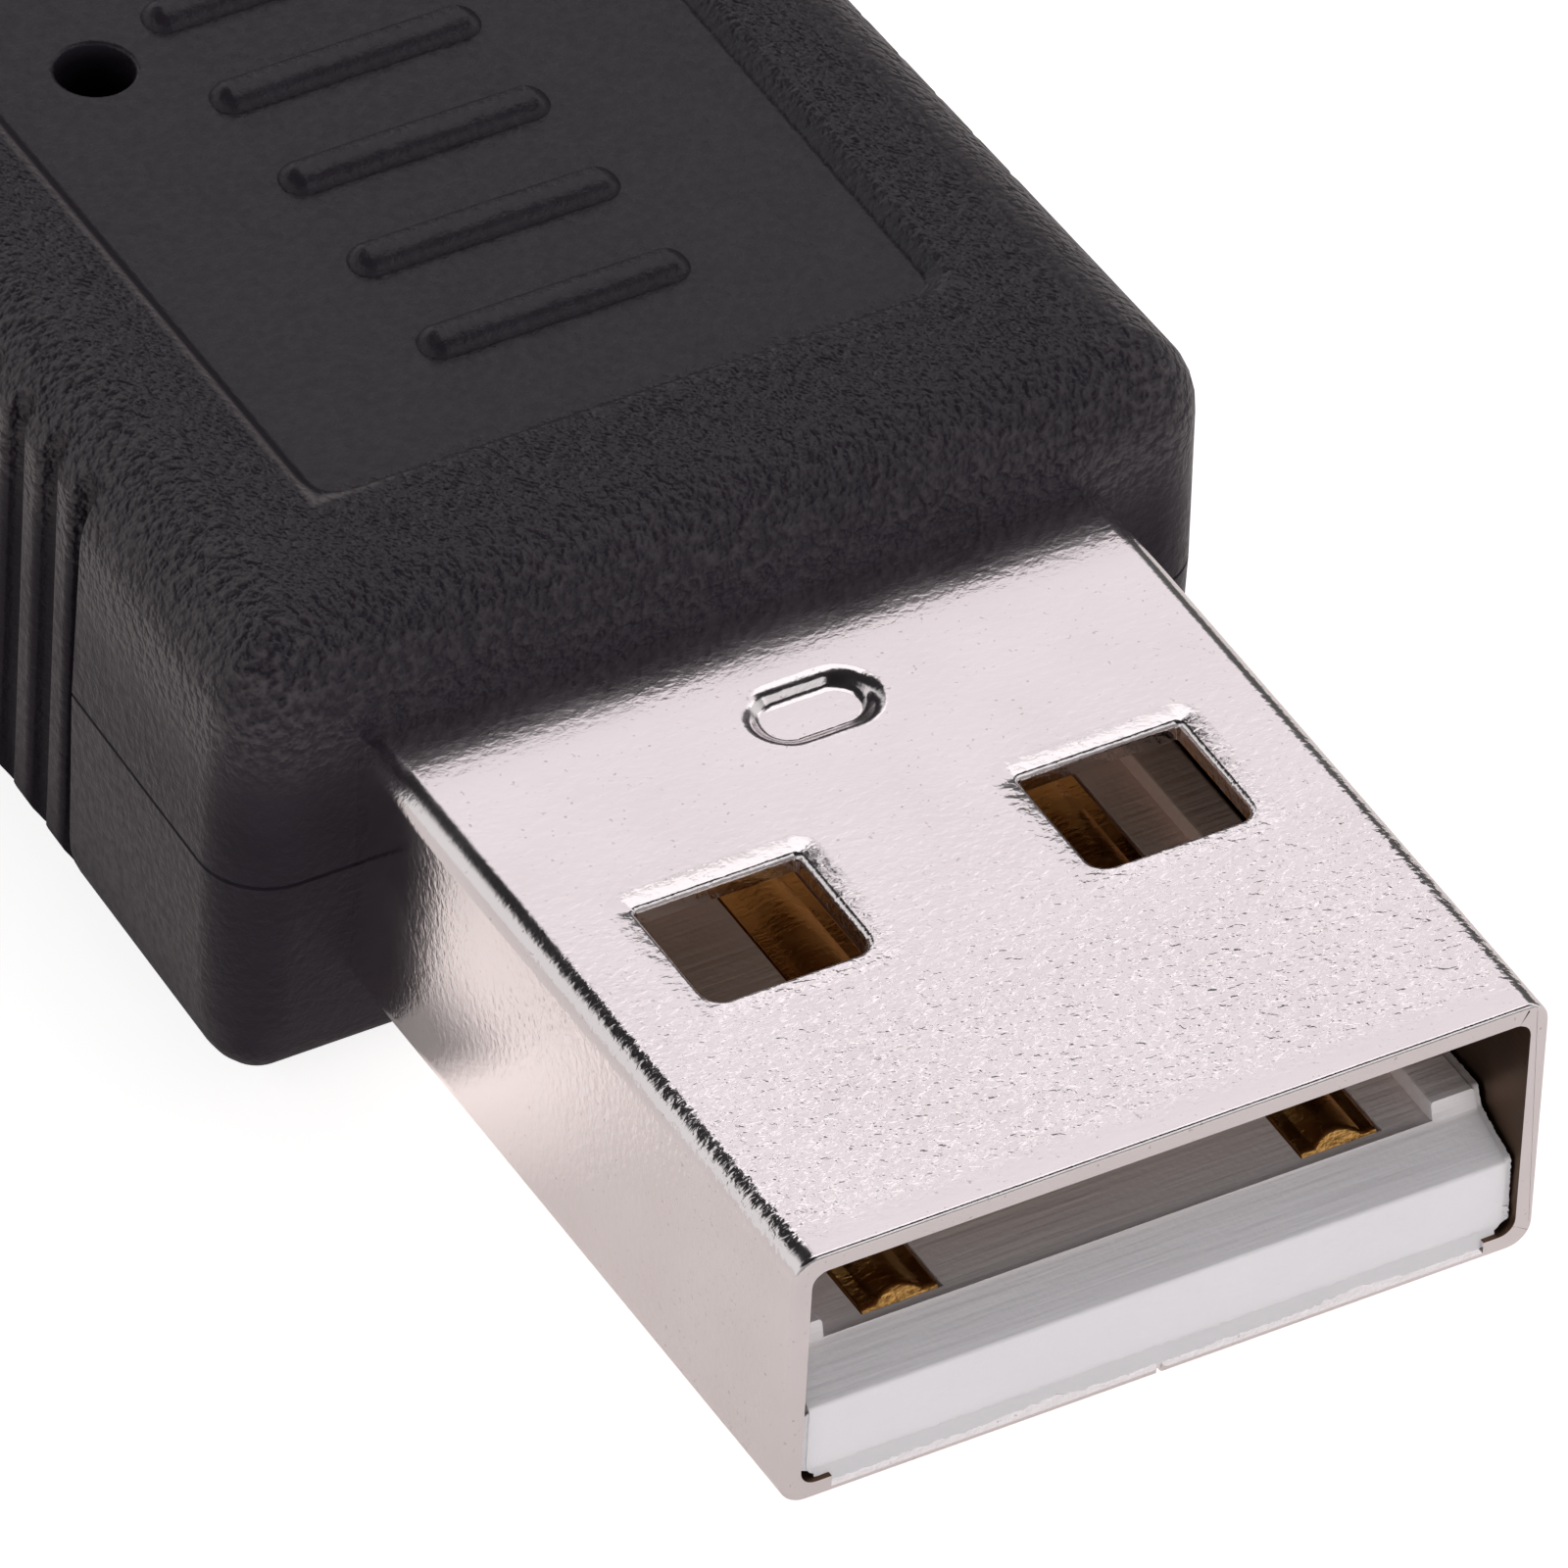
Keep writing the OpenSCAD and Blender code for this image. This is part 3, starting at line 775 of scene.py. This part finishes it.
# %% Contact channels
channel_w = 1.30
contact_t = 0.20
outer_pitch = 3.5
inner_pitch = 1.0
outer_setback = 1.04
inner_setback = 1.15
tunnel_lap = 0.5
outer_front = tongue_front + outer_setback
inner_front = outer_front + inner_setback
contacts = {
    "contact_power": (-outer_pitch, outer_front),
    "contact_data_minus": (-inner_pitch, inner_front),
    "contact_data_plus": (inner_pitch, inner_front),
    "contact_ground": (outer_pitch, outer_front),
}
channel_floor = flat_z_tongue - contact_t
for place_x, channel_front in contacts.values():
    left, right = place_x - channel_w / 2, place_x + channel_w / 2
    for name, start_y, end_y, ceiling in (
        ("channel", channel_front, cavity_back, tongue_top + over),
        ("tunnel", cavity_back - tunnel_lap, insulator_high.y + over, tongue_top),
    ):
        cut(insulator, block(name, (left, start_y, channel_floor), (right, end_y, ceiling)))
tidy_mesh(insulator)
print("insulator faces:", len(insulator.data.polygons))

# %% [markdown]
# Moulded plastic has no knife edges, so the corners that show through the mouth are eased a
# few hundredths. Thin flash is left where the halves of its mould met: over the lower lip,
# in its two corners and along the right side. Each skin of flash is a grid whose columns are
# torn off at their own lengths.

# %% Eased corners
ease = 0.05


def shows_in_mouth(edge):
    """True for a straight corner of the tongue that can be seen from the mouth."""
    spot = middle(edge)
    if len(edge.link_faces) != 2 or spot.y > cavity_back + 0.01:
        return False
    across_top = runs(edge, 0) and near(spot.z, flat_z_tongue) and spot.y < outer_front - 0.02
    across_front = runs(edge, 0) and near(spot.y, tongue_front) and spot.z > flat_z_tongue - 2 * lead_in_h
    along_rail = runs(edge, 1) and near(spot.z, tongue_top)
    return (across_top or across_front or along_rail) and edge.calc_face_angle(0) > 0.2


print("eased corners:", round_edges(insulator, ease, 2, shows_in_mouth))
smooth(insulator)
hand_over(insulator, ["insulator"], white_plastic)

# %% Torn flash
dice = random.Random(7)
rows = 5
skin_t = 0.02
fray = 0.012


def flash(name, route, out, reach, columns):
    """A torn skin of plastic that grows outwards from a route by up to its reach."""
    steps = [(there - here).length for here, there in zip(route, route[1:])]
    bpy.ops.mesh.primitive_grid_add(x_subdivisions=columns, y_subdivisions=rows, size=1)
    skin = named(name)
    torn = {}
    pick(skin, "VERT", lambda vertex: True)
    for vertex in bmesh.from_edit_mesh(skin.data).verts:
        along = (vertex.co.x + 0.5) * sum(steps)
        outwards = vertex.co.y + 0.5
        column = round(vertex.co.x * columns)
        if column not in torn:
            swell = 0.5 + 0.5 * math.sin(along * 1.9 + 1.0) * math.cos(along * 0.7)
            torn[column] = 0.50 + 0.36 * swell + 0.14 * dice.random()
        number = 0
        while number < len(steps) - 1 and along > steps[number]:
            along -= steps[number]
            number += 1
        foot = route[number].lerp(route[number + 1], along / steps[number])
        vertex.co = foot + out * (outwards * reach * torn[column])
        vertex.co.y += fray * dice.random()
    done()
    modify(skin, "SOLIDIFY", thickness=skin_t, offset=0)
    tidy_mesh(skin)
    smooth(skin, 60)
    hand_over(skin, [], white_plastic)


foot_rise = 0.16
lip_gap = 0.06
corner_reach = 0.19
side_reach = 0.145
foot_z = inner_bottom + foot_rise
foot_reach = foot_z - shell_low.z - lip_gap
foot_x = insulator_high.x - 0.12
lip_slope = Vector((0, tongue_front - mouth_y - 0.03, 0.95 * foot_reach)).normalized() * -1
foot_route = [Vector((side * foot_x, tongue_front + fray, foot_z)) for side in (-1, 1)]
flash("tongue_foot_flash", foot_route, lip_slope, foot_reach / abs(lip_slope.z), 150)
for side, height in ((-1, 1.05), (1, 0.30)):
    corner_spots = ((foot_x - 0.25, -0.05), (foot_x + 0.08, 0.10), (foot_x + 0.08, height))
    corner_route = [Vector((side * x, tongue_front + 0.02, foot_z + rise)) for x, rise in corner_spots]
    flash("tongue_corner_flash", corner_route, Vector((side, 0, -0.55)).normalized(), corner_reach, 60)
side_spots = (
    (tongue_front + 0.05, shell_low.z + 2 * sheet),
    (tongue_front + 0.05, flat_z_tongue - lead_in_h),
    (rail_y + 0.05, flat_z_tongue),
    (rail_y + rail_nose_l + 0.05, tongue_top - 0.03),
    (rail_y + 2.0, tongue_top - 0.03),
)
side_route = [Vector((insulator_high.x - 0.01, y, z)) for y, z in side_spots]
flash("tongue_side_flash", side_route, Vector((1, 0, 0)), side_reach, 110)

# %% [markdown]
# ## The contacts
#
# A contact is a flat strip that lies flush with the tongue, stamped with a low round crown
# along its middle, so that the socket's spring rides on it. The crown is what a large round
# bar shares with a narrow block. The nose is then cut off on a slope, down to the floor of
# its channel.

# %% Crowned strip
contact_w = 1.20
crown_w = 0.76
crown = 0.10
crown_r = ((crown_w / 2) ** 2 + crown**2) / (2 * crown)
nose_l = 0.25
nose_r = 0.05
strip_edge_r = 0.03
tail_l = 2.8
strip_end = insulator_high.y


def make_contact(name, place_x, front):
    """One stamped contact with its nose, crown and solder tail."""
    left, right = place_x - contact_w / 2, place_x + contact_w / 2
    edge_z = channel_floor + contact_t
    strip = block(name, (left, front, channel_floor), (right, strip_end, edge_z))
    round_edges(strip, strip_edge_r, 3, lambda edge: runs(edge, 1) and near(middle(edge).z, edge_z))
    ridge_low = (place_x - crown_w / 2, front, edge_z - contact_t / 2)
    ridge = block("ridge", ridge_low, (place_x + crown_w / 2, strip_end, edge_z + 2 * crown))
    bar_z = edge_z + crown - crown_r
    bar = rod("bar", crown_r, (place_x, front - over, bar_z), (place_x, strip_end + over, bar_z), 160)
    combine(ridge, bar, "INTERSECT")
    combine(strip, ridge, "UNION")
    fall = Vector((0, -(contact_t / 2 + crown), nose_l))
    start = (place_x, front, channel_floor + contact_t / 2)
    cut_line(strip, start, fall, clear_outer=True, use_fill=True)
    slope = fall.normalized()

    def round_nose(edge):
        """True for an upper edge of the nose."""
        on_slope = [face for face in edge.link_faces if face.normal.dot(slope) > 0.999]
        return len(on_slope) == 1 and middle(edge).z > edge_z - 0.01 and not runs(edge, 1)

    round_edges(strip, nose_r, 3, round_nose)
    tail_low = (left, strip_end - 0.01, channel_floor)
    tail = beam("tail", tail_low, (right, strip_end + tail_l, edge_z), strip_edge_r, 3)
    combine(strip, tail, "UNION")
    smooth(strip, 25)
    return strip


for node_name, (place_x, channel_front) in contacts.items():
    strip = make_contact(node_name + "_strip", place_x, channel_front)
    hand_over(strip, [node_name], gilding)

# %% [markdown]
# ## The grip
#
# The grip is the hardest shape: its walls lean in towards the cable and away from the mould
# line at mid height, its long edges are rounded, and the front corners are tighter than that
# rounding. A bevel would overlap itself at those corners. Instead the outline is drawn once
# at the mould line and raised in slices. On each slice the four corners shrink about their
# own centres, and once a corner is used up it moves in with the walls. The half is mirrored.

# %% Outline at the mould line
grip_taper = math.radians(1.5)
grip_draft = math.radians(1.0)
grip_edge_r = 1.5
front_r = 1.05
rear_r = 4.0
least_r = 0.05
mould_line = 0.035
grip_mid_z = (grip_low.z + grip_high.z) / 2
rear_w = grip_w - 2 * grip_l * math.tan(grip_taper)

lean = (grip_w - rear_w) / 2 / (grip_l - front_r - rear_r)
wide = grip_w + 2 * front_r * lean
narrow = rear_w - 2 * rear_r * lean
grip = plate("plug_grip", (0, 0, 0), wide, grip_l)
half_l = grip_l / 2
pick(grip, "VERT", lambda vertex: vertex.co.y > 0)
bpy.ops.transform.resize(value=(narrow / wide, 1, 1))
done()
round_edges(grip, front_r, 10, lambda vertex: vertex.co.y < 0, "VERT")
round_edges(grip, rear_r, 18, lambda vertex: near(vertex.co.y, half_l), "VERT")
print("outline corners:", len(grip.data.vertices))

# %% Slices up to the flat
corners = []
for side in (-1, 1):
    corners.append((side, grip_w / 2, -half_l, 1, front_r))
    corners.append((side, rear_w / 2, half_l, -1, rear_r))


def corner_at(corner, inset):
    """Centre and radius of a corner when the walls have moved in by inset."""
    side, half_w, end_y, way, radius = corner
    left_r = max(radius - inset, least_r)
    return Vector((side * (half_w - inset - left_r), end_y + way * (inset + left_r), 0)), left_r


def move_corners(height, before, after):
    """Shrinks and moves the four corners of the top slice from one inset to the next."""
    for corner in corners:
        old_centre, old_r = corner_at(corner, before)
        new_centre, new_r = corner_at(corner, after)
        reach = old_r + 0.2

        def belongs(vertex):
            flat = Vector((vertex.co.x, vertex.co.y, 0))
            return near(vertex.co.z, height) and (flat - old_centre).length < reach

        pick(grip, "VERT", belongs)
        shrink = new_r / old_r
        bpy.ops.transform.resize(value=(shrink, shrink, 1), center_override=old_centre)
        bpy.ops.transform.translate(value=new_centre - old_centre)
        done()


fillet_steps = 9
draft_inset = (grip_h / 2 - grip_edge_r) * math.tan(grip_draft)
flat_z = grip_h / 2 - grip_edge_r
slices = [(mould_line, 0.0)]
for step in range(fillet_steps + 1):
    turn = math.radians(90) * step / fillet_steps
    inset = draft_inset + (grip_edge_r - draft_inset) * (1 - math.cos(turn))
    slices.append((flat_z + grip_edge_r * math.sin(turn), inset))

move_corners(0, 0, mould_line)
height_now, inset_now = 0, mould_line
for height, inset in slices:
    pick(grip, "FACE", lambda face: near(middle(face).z, height_now) and abs(face.normal.z) > 0.99)
    extrude((0, 0, height - height_now))
    done()
    move_corners(height, inset_now, inset)
    height_now, inset_now = height, inset
print("slices:", len(slices), "faces:", len(grip.data.polygons))

# %% Mirrored half
pick(grip, "FACE", lambda face: near(middle(face).z, 0) and abs(face.normal.z) > 0.99)
bpy.ops.mesh.delete(type="FACE")
done()
modify(grip, "MIRROR", use_axis=(False, False, True), merge_threshold=0.001)
grip.location = (0, (face_y + rear_y) / 2, grip_mid_z)
bpy.ops.object.transform_apply(location=True, rotation=True, scale=True)
tidy_mesh(grip)
print("grip size:", [round(side, 3) for side in grip.dimensions])

# %% [markdown]
# The panel is sunk a quarter of a millimetre, with walls at 45 degrees. Its cutter is the
# outline of the rim, inset and lowered. The bottom edge of the cutter is rounded, so the
# panel comes out with a soft inner corner.

# %% Sunk panel
panel_d = 0.25
panel_r = 0.4
panel_floor_r = 0.06
panel_rim_r = 0.09
panel_front = face_y + panel_setback
panel_z = grip_high.z - panel_d
panel_mid = Vector((0, panel_front + panel_l / 2, grip_high.z))
panel = plate("panel_cutter", panel_mid, panel_w + 2 * panel_d, panel_l + 2 * panel_d)
round_edges(panel, panel_r + panel_d, 8, lambda vertex: True, "VERT")
pick(panel, "FACE", lambda face: True)
extrude((0, 0, over))
done()
pick(panel, "FACE", lambda face: near(middle(face).z, grip_high.z) and abs(face.normal.z) > 0.99)
bpy.ops.mesh.inset(thickness=panel_d)
bpy.ops.transform.translate(value=(0, 0, -panel_d))
done()
tidy_mesh(panel)
round_edges(panel, panel_floor_r, 2, lambda edge: all_at(edge, 2, panel_z))
cut(grip, panel)
print("panel floor at", round(panel_z, 3))


def on_panel_rim(edge):
    """True for the edge where the panel meets the top of the grip."""
    spot = middle(edge)
    beside = near(abs(spot.x), panel_w / 2 + panel_d, 0.25)
    ends = near(abs(spot.y - panel_mid.y), panel_l / 2 + panel_d, 0.25)
    inside = abs(spot.x) < panel_w / 2 + panel_d + 0.02
    return all_at(edge, 2, grip_high.z) and inside and (beside or ends) and edge.calc_face_angle(0) > 0.3


print("panel rim:", round_edges(grip, panel_rim_r, 3, on_panel_rim))

# %% [markdown]
# The side grooves sit in a shallow zone on each side wall, square to the leaning wall. The
# cutter is a comb: a block divided along its length, with every other cell pushed inwards.
# The rounded corners between its teeth shape the ribs of the grip.

# %% Comb for the side grooves
groove_setback = 4.95
groove_count = 12
groove_pitch = 1.0
groove_w = 0.50
groove_r = 0.20
land_r = 0.14
zone_d = 0.15
groove_d = 0.30
zone_l = (groove_count - 1) * groove_pitch + groove_w
zone_front = face_y + groove_setback
wall_x = grip_w / 2 - groove_setback * math.tan(grip_taper)
zone_x = wall_x - zone_d
zone_back = zone_front + zone_l

comb = block("groove_comb", (zone_x, zone_front, -over), (wall_x + over, zone_back, grip_h + over))
for number in range(1, 2 * groove_count - 1):
    cut_y = zone_front + (number // 2) * groove_pitch + (number % 2) * groove_w
    cut_line(comb, (0, cut_y, 0), (0, 1, 0))
for number in range(groove_count):
    in_cell = zone_front + number * groove_pitch + groove_w / 2
    pick(comb, "FACE", lambda face: all_at(face, 0, zone_x) and near(middle(face).y, in_cell, 0.05))
    extrude((-groove_d, 0, 0))
    done()


def on_land(edge):
    """True for a long edge between two teeth of the comb, away from its ends."""
    spot = middle(edge)
    away = zone_front + 0.1 < spot.y < zone_back - 0.1
    return runs(edge, 2) and near(spot.x, zone_x) and away


round_edges(comb, groove_r, 4, lambda edge: runs(edge, 2) and near(middle(edge).x, zone_x - groove_d))
round_edges(comb, land_r, 4, on_land)
print("comb faces:", len(comb.data.polygons))

# %% Cut both sides
only(comb)
bpy.ops.transform.rotate(value=-grip_taper, orient_axis="Z", center_override=(wall_x, zone_front, 0))
bpy.ops.object.transform_apply(location=True, rotation=True, scale=True)
modify(comb, "MIRROR", use_axis=(True, False, False))
tidy_mesh(comb)
cut(grip, comb)
print("grip faces:", len(grip.data.polygons))

# %% [markdown]
# Five raised ribs give the thumb a hold on the panel. Each is a ball whose two halves are
# moved apart, sunk so that only its round back stands above the floor.

# %% Thumb ribs
rib_count = 5
rib_pitch = 2.0
rib_l = 4.4
rib_r = 0.40
rib_h = 0.24
rib_setback = 2.2
for number in range(rib_count):
    rib_y = panel_front + rib_setback + number * rib_pitch
    bpy.ops.mesh.primitive_uv_sphere_add(
        segments=40,
        ring_count=20,
        radius=rib_r,
        location=(0, rib_y, panel_z + rib_h - rib_r),
        rotation=(0, math.radians(90), 0),
    )
    rib = named("thumb_rib")
    pull_apart(rib, rib_l / 2 - rib_r)
    combine(grip, rib, "UNION")
print("thumb ribs:", rib_count)

# %% [markdown]
# The inside of the grip is the shape of what it was moulded over: the shell, the inner mould
# and the cable. Pins held the inner mould in the middle of the tool and left four holes.

# %% Hollow for the inner parts
inlet_r = 2.3
collar_r = (mould_high.z - mould_low.z) / 2
block_h = 5.9
inner_block_r = 0.8
neck_and_crimp_l = 4.4
inner_wall = 0.35
block_end = can_high.y - neck_and_crimp_l + inner_wall
block_low = (mould_low.x, mould_low.y, grip_mid_z - block_h / 2)
block_high = (mould_high.x, block_end, grip_mid_z + block_h / 2)
cut(grip, beam("inner_block", block_low, block_high, inner_block_r, 6))
for name, radius, start_y, end_y in (
    ("collar", collar_r, block_end - over, mould_high.y),
    ("inlet", inlet_r, mould_high.y - over, rear_y + over),
):
    cut(grip, rod(name, radius, (0, start_y, grip_mid_z), (0, end_y, grip_mid_z), 64))
way_low = (-shell_w / 2, face_y - over, shell_low.z)
cut(grip, beam("shell_way", way_low, (shell_w / 2, mould_low.y + 0.1, shell_high.z), bend_r, 8))
print("hollow to y", round(block_end, 2), "and", round(mould_high.y, 2))

# %% Holes of the support pins
pin_r = 0.58
pin_x = 3.25
pin_y = face_y + 12.75
pin_lap = 0.05
pin_rim_r = 0.08
inlet_rim_r = 0.15
lower_hole = (grip_low.z - over - pin_lap, grip_mid_z - block_h / 2 + pin_lap)
upper_hole = (grip_mid_z + block_h / 2 - pin_lap, grip_high.z + over + pin_lap)
for side in (-1, 1):
    for low, high in (lower_hole, upper_hole):
        cut(grip, rod("pin", pin_r, (side * pin_x, pin_y, low), (side * pin_x, pin_y, high), 32))


def on_pin_rim(edge):
    """True for the outer rim of a pin hole."""
    spot = middle(edge)
    reach = math.hypot(abs(spot.x) - pin_x, spot.y - pin_y)
    return near(reach, pin_r, 0.02) and (all_at(edge, 2, panel_z) or all_at(edge, 2, grip_low.z))


print("pin rims:", round_edges(grip, pin_rim_r, 3, on_pin_rim))


def on_inlet_rim(edge):
    """True for the outer rim of the cable inlet."""
    spot = middle(edge)
    reach = math.hypot(spot.x, spot.z - grip_mid_z)
    return near(reach, inlet_r, 0.02) and near(spot.y, rear_y, 0.1)


print("inlet rim:", round_edges(grip, inlet_rim_r, 3, on_inlet_rim))
smooth(grip, 32)
hand_over(grip, ["grip"], vinyl)

# %% [markdown]
# ## The inner parts
#
# The two cans and the inner mould are inside, seen only through the cable inlet and the pin
# holes, so they keep the frame's meshes and get the materials above.

# %% Finish of the inner parts
for node_name, finish in (("shield_upper", tin), ("shield_lower", tin), ("inner_mould", polythene)):
    node_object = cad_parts[node_name]
    node_object.data.materials.clear()
    node_object.data.materials.append(finish)
    print(node_name, "in", finish.name)

# %% [markdown]
# ## Floor, light and camera
#
# A floor in near white holds the soft shadow. The camera sees it lighter than it is, so that
# the ground goes to white while the plug is lit at a plain level. For mirror rays the floor
# glows warm, a painted reflection, with a painted shadow close to the grip and a painted
# falloff further out. It lies a hundredth of a millimetre below the grip, so that the two
# flat faces don't share a plane.

# %% Floor
floor_side = 1.2
floor_gap = 0.01
bpy.ops.mesh.primitive_grid_add(
    x_subdivisions=4, y_subdivisions=4, size=floor_side, location=(0, 0, -floor_gap * MM)
)
floor = named("floor")
floor_paper, floor_shader = new_material("floor_paper")
rays = add_node(floor_paper.node_tree, "ShaderNodeLightPath", {})
floor_x, floor_y, _ = split(place_mm(floor_shader))
beside_grip = calc("SUBTRACT", distance(floor_x), grip_w / 2)
off_grip = clear_of(beside_grip, calc("SUBTRACT", face_y, floor_y))
# Painted shadow of the grip and painted falloff, in the glow that the metal mirrors.
shade_of_grip = ramp(off_grip, 0.0, 0.8, 0.10, 0.90)
painted_falloff = calc("MULTIPLY", ramp(off_grip, 0.8, 3.2, 1.0, 0.48), ramp(off_grip, 3.2, 12.0, 1.0, 0.74))
mirror_glow = calc("MULTIPLY", shade_of_grip, painted_falloff)
mirror_glow = calc("MULTIPLY", rays.outputs["Is Glossy Ray"], mirror_glow)
camera_glow = calc("MULTIPLY", rays.outputs["Is Camera Ray"], 0.80)
dress(
    floor_shader,
    Base_Color=(0.82, 0.80, 0.79),
    Roughness=0.9,
    Emission_Color=tint(rays.outputs["Is Camera Ray"], (1.0, 0.90, 0.86), (1, 1, 1)),
    Emission_Strength=calc("ADD", camera_glow, mirror_glow),
)
floor.data.materials.append(floor_paper)
floor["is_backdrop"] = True

# %% [markdown]
# The room is white low down and dark overhead. Its walls are dimmer to the right and behind
# the plug, so that there the lamps alone make the bright mirror images. The flat top of the
# shell mirrors the wide lamp behind it, and the slopes round the windows mirror the lamp
# above that one. The bends mirror the dark ceiling as thin lines, and the side mirrors the
# floor. A small lamp to the front right picks out the chamfer of the lower lip. A low lamp in
# front lights the tongue in the mouth; bright metal must not mirror it, or the shell would
# burn out when seen from behind.

# %% World
world = bpy.data.worlds.new("studio")
bpy.context.scene.world = world
world.use_nodes = True
sky = world.node_tree
room = sky.nodes["Background"]
looking = add_node(sky, "ShaderNodeTexCoord", {}).outputs["Generated"]
look_x, look_y, look_z = split(looking)
shade = add_node(sky, "ShaderNodeValToRGB", {"Fac": look_z})
stops = ((0.50, (0.85, 0.84, 0.84, 1)), (0.66, (0.025, 0.023, 0.025, 1)))
for stop, (level, colour) in zip(shade.color_ramp.elements, stops):
    stop.position = level
    stop.color = colour
join(shade.outputs["Color"], room.inputs["Color"])
right_wall = ramp(look_x, 0.45, 0.25, 0.12)
back_wall = ramp(look_y, 0.25, 0.05, 0.12)
front_wall = ramp(look_y, -0.75, -0.15, 0.40)
join(calc("MULTIPLY", calc("MAXIMUM", right_wall, back_wall), front_wall), room.inputs["Strength"])


# %% Lamps
def way_to(azimuth, elevation):
    """The direction to a place round the plug; azimuth 0 is behind it, 90 to its right."""
    a, e = math.radians(azimuth), math.radians(elevation)
    return Vector((math.sin(a) * math.cos(e), math.cos(a) * math.cos(e), math.sin(e)))


def soft_lamp(name, azimuth, elevation, away, size, power, colour):
    """A soft lamp that looks at the plug."""
    way = way_to(azimuth, elevation)
    lamp_data = bpy.data.lights.new(name, "AREA")
    lamp_data.shape = "RECTANGLE"
    lamp_data.size, lamp_data.size_y = size
    lamp_data.energy = power
    lamp_data.color = colour
    lamp = bpy.data.objects.new(name, lamp_data)
    bpy.context.scene.collection.objects.link(lamp)
    lamp.location = way * away
    lamp.rotation_mode = "QUATERNION"
    lamp.rotation_quaternion = way.to_track_quat("Z", "Y")
    return lamp


soft_lamp("back_right_lamp", 56, 42.5, 0.40, (0.50, 0.185), 0.28, (1.0, 0.945, 0.975))
soft_lamp("upper_back_lamp", 50, 70, 0.40, (0.30, 0.20), 0.25, (1.0, 0.97, 0.985))
soft_lamp("front_right_lamp", 146, 36, 0.40, (0.24, 0.16), 0.10, (1.0, 0.98, 0.99))
fill = soft_lamp("front_lamp", 186, 9, 0.50, (0.60, 0.14), 1.2, (1.0, 1.0, 1.0))
fill.visible_glossy = False

# %% [markdown]
# The camera stands far back with a long lens, so the plug shows almost no perspective. It
# looks at the shell from the left and above, and is turned a few degrees about its view.

# %% Camera
camera_roll = math.radians(3.325)
camera_distance = 369.7 * MM
aim = Vector((-1.19, -10.12, 6.40)) * MM
back = way_to(180 + 32.02, 41.10)
camera_data = bpy.data.cameras.new("camera")
camera_data.sensor_width = 36
camera_data.lens = 613.7
camera_data.clip_start = 0.01
camera_data.clip_end = 10
camera = bpy.data.objects.new("camera", camera_data)
bpy.context.scene.collection.objects.link(camera)
camera.location = aim + back * camera_distance
camera.rotation_mode = "QUATERNION"
camera.rotation_quaternion = (-back).to_track_quat("-Z", "Y") @ Quaternion((0, 0, 1), camera_roll)
bpy.context.scene.camera = camera
bpy.context.scene.view_settings.view_transform = "Standard"
print("camera at", [round(value / MM, 1) for value in camera.location])

# %% Sizes before and after
now_low, now_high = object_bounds()
growth = (now_high - now_low) - (cad_high - cad_low)
print("size difference in mm:", [round(side / MM, 3) for side in growth])
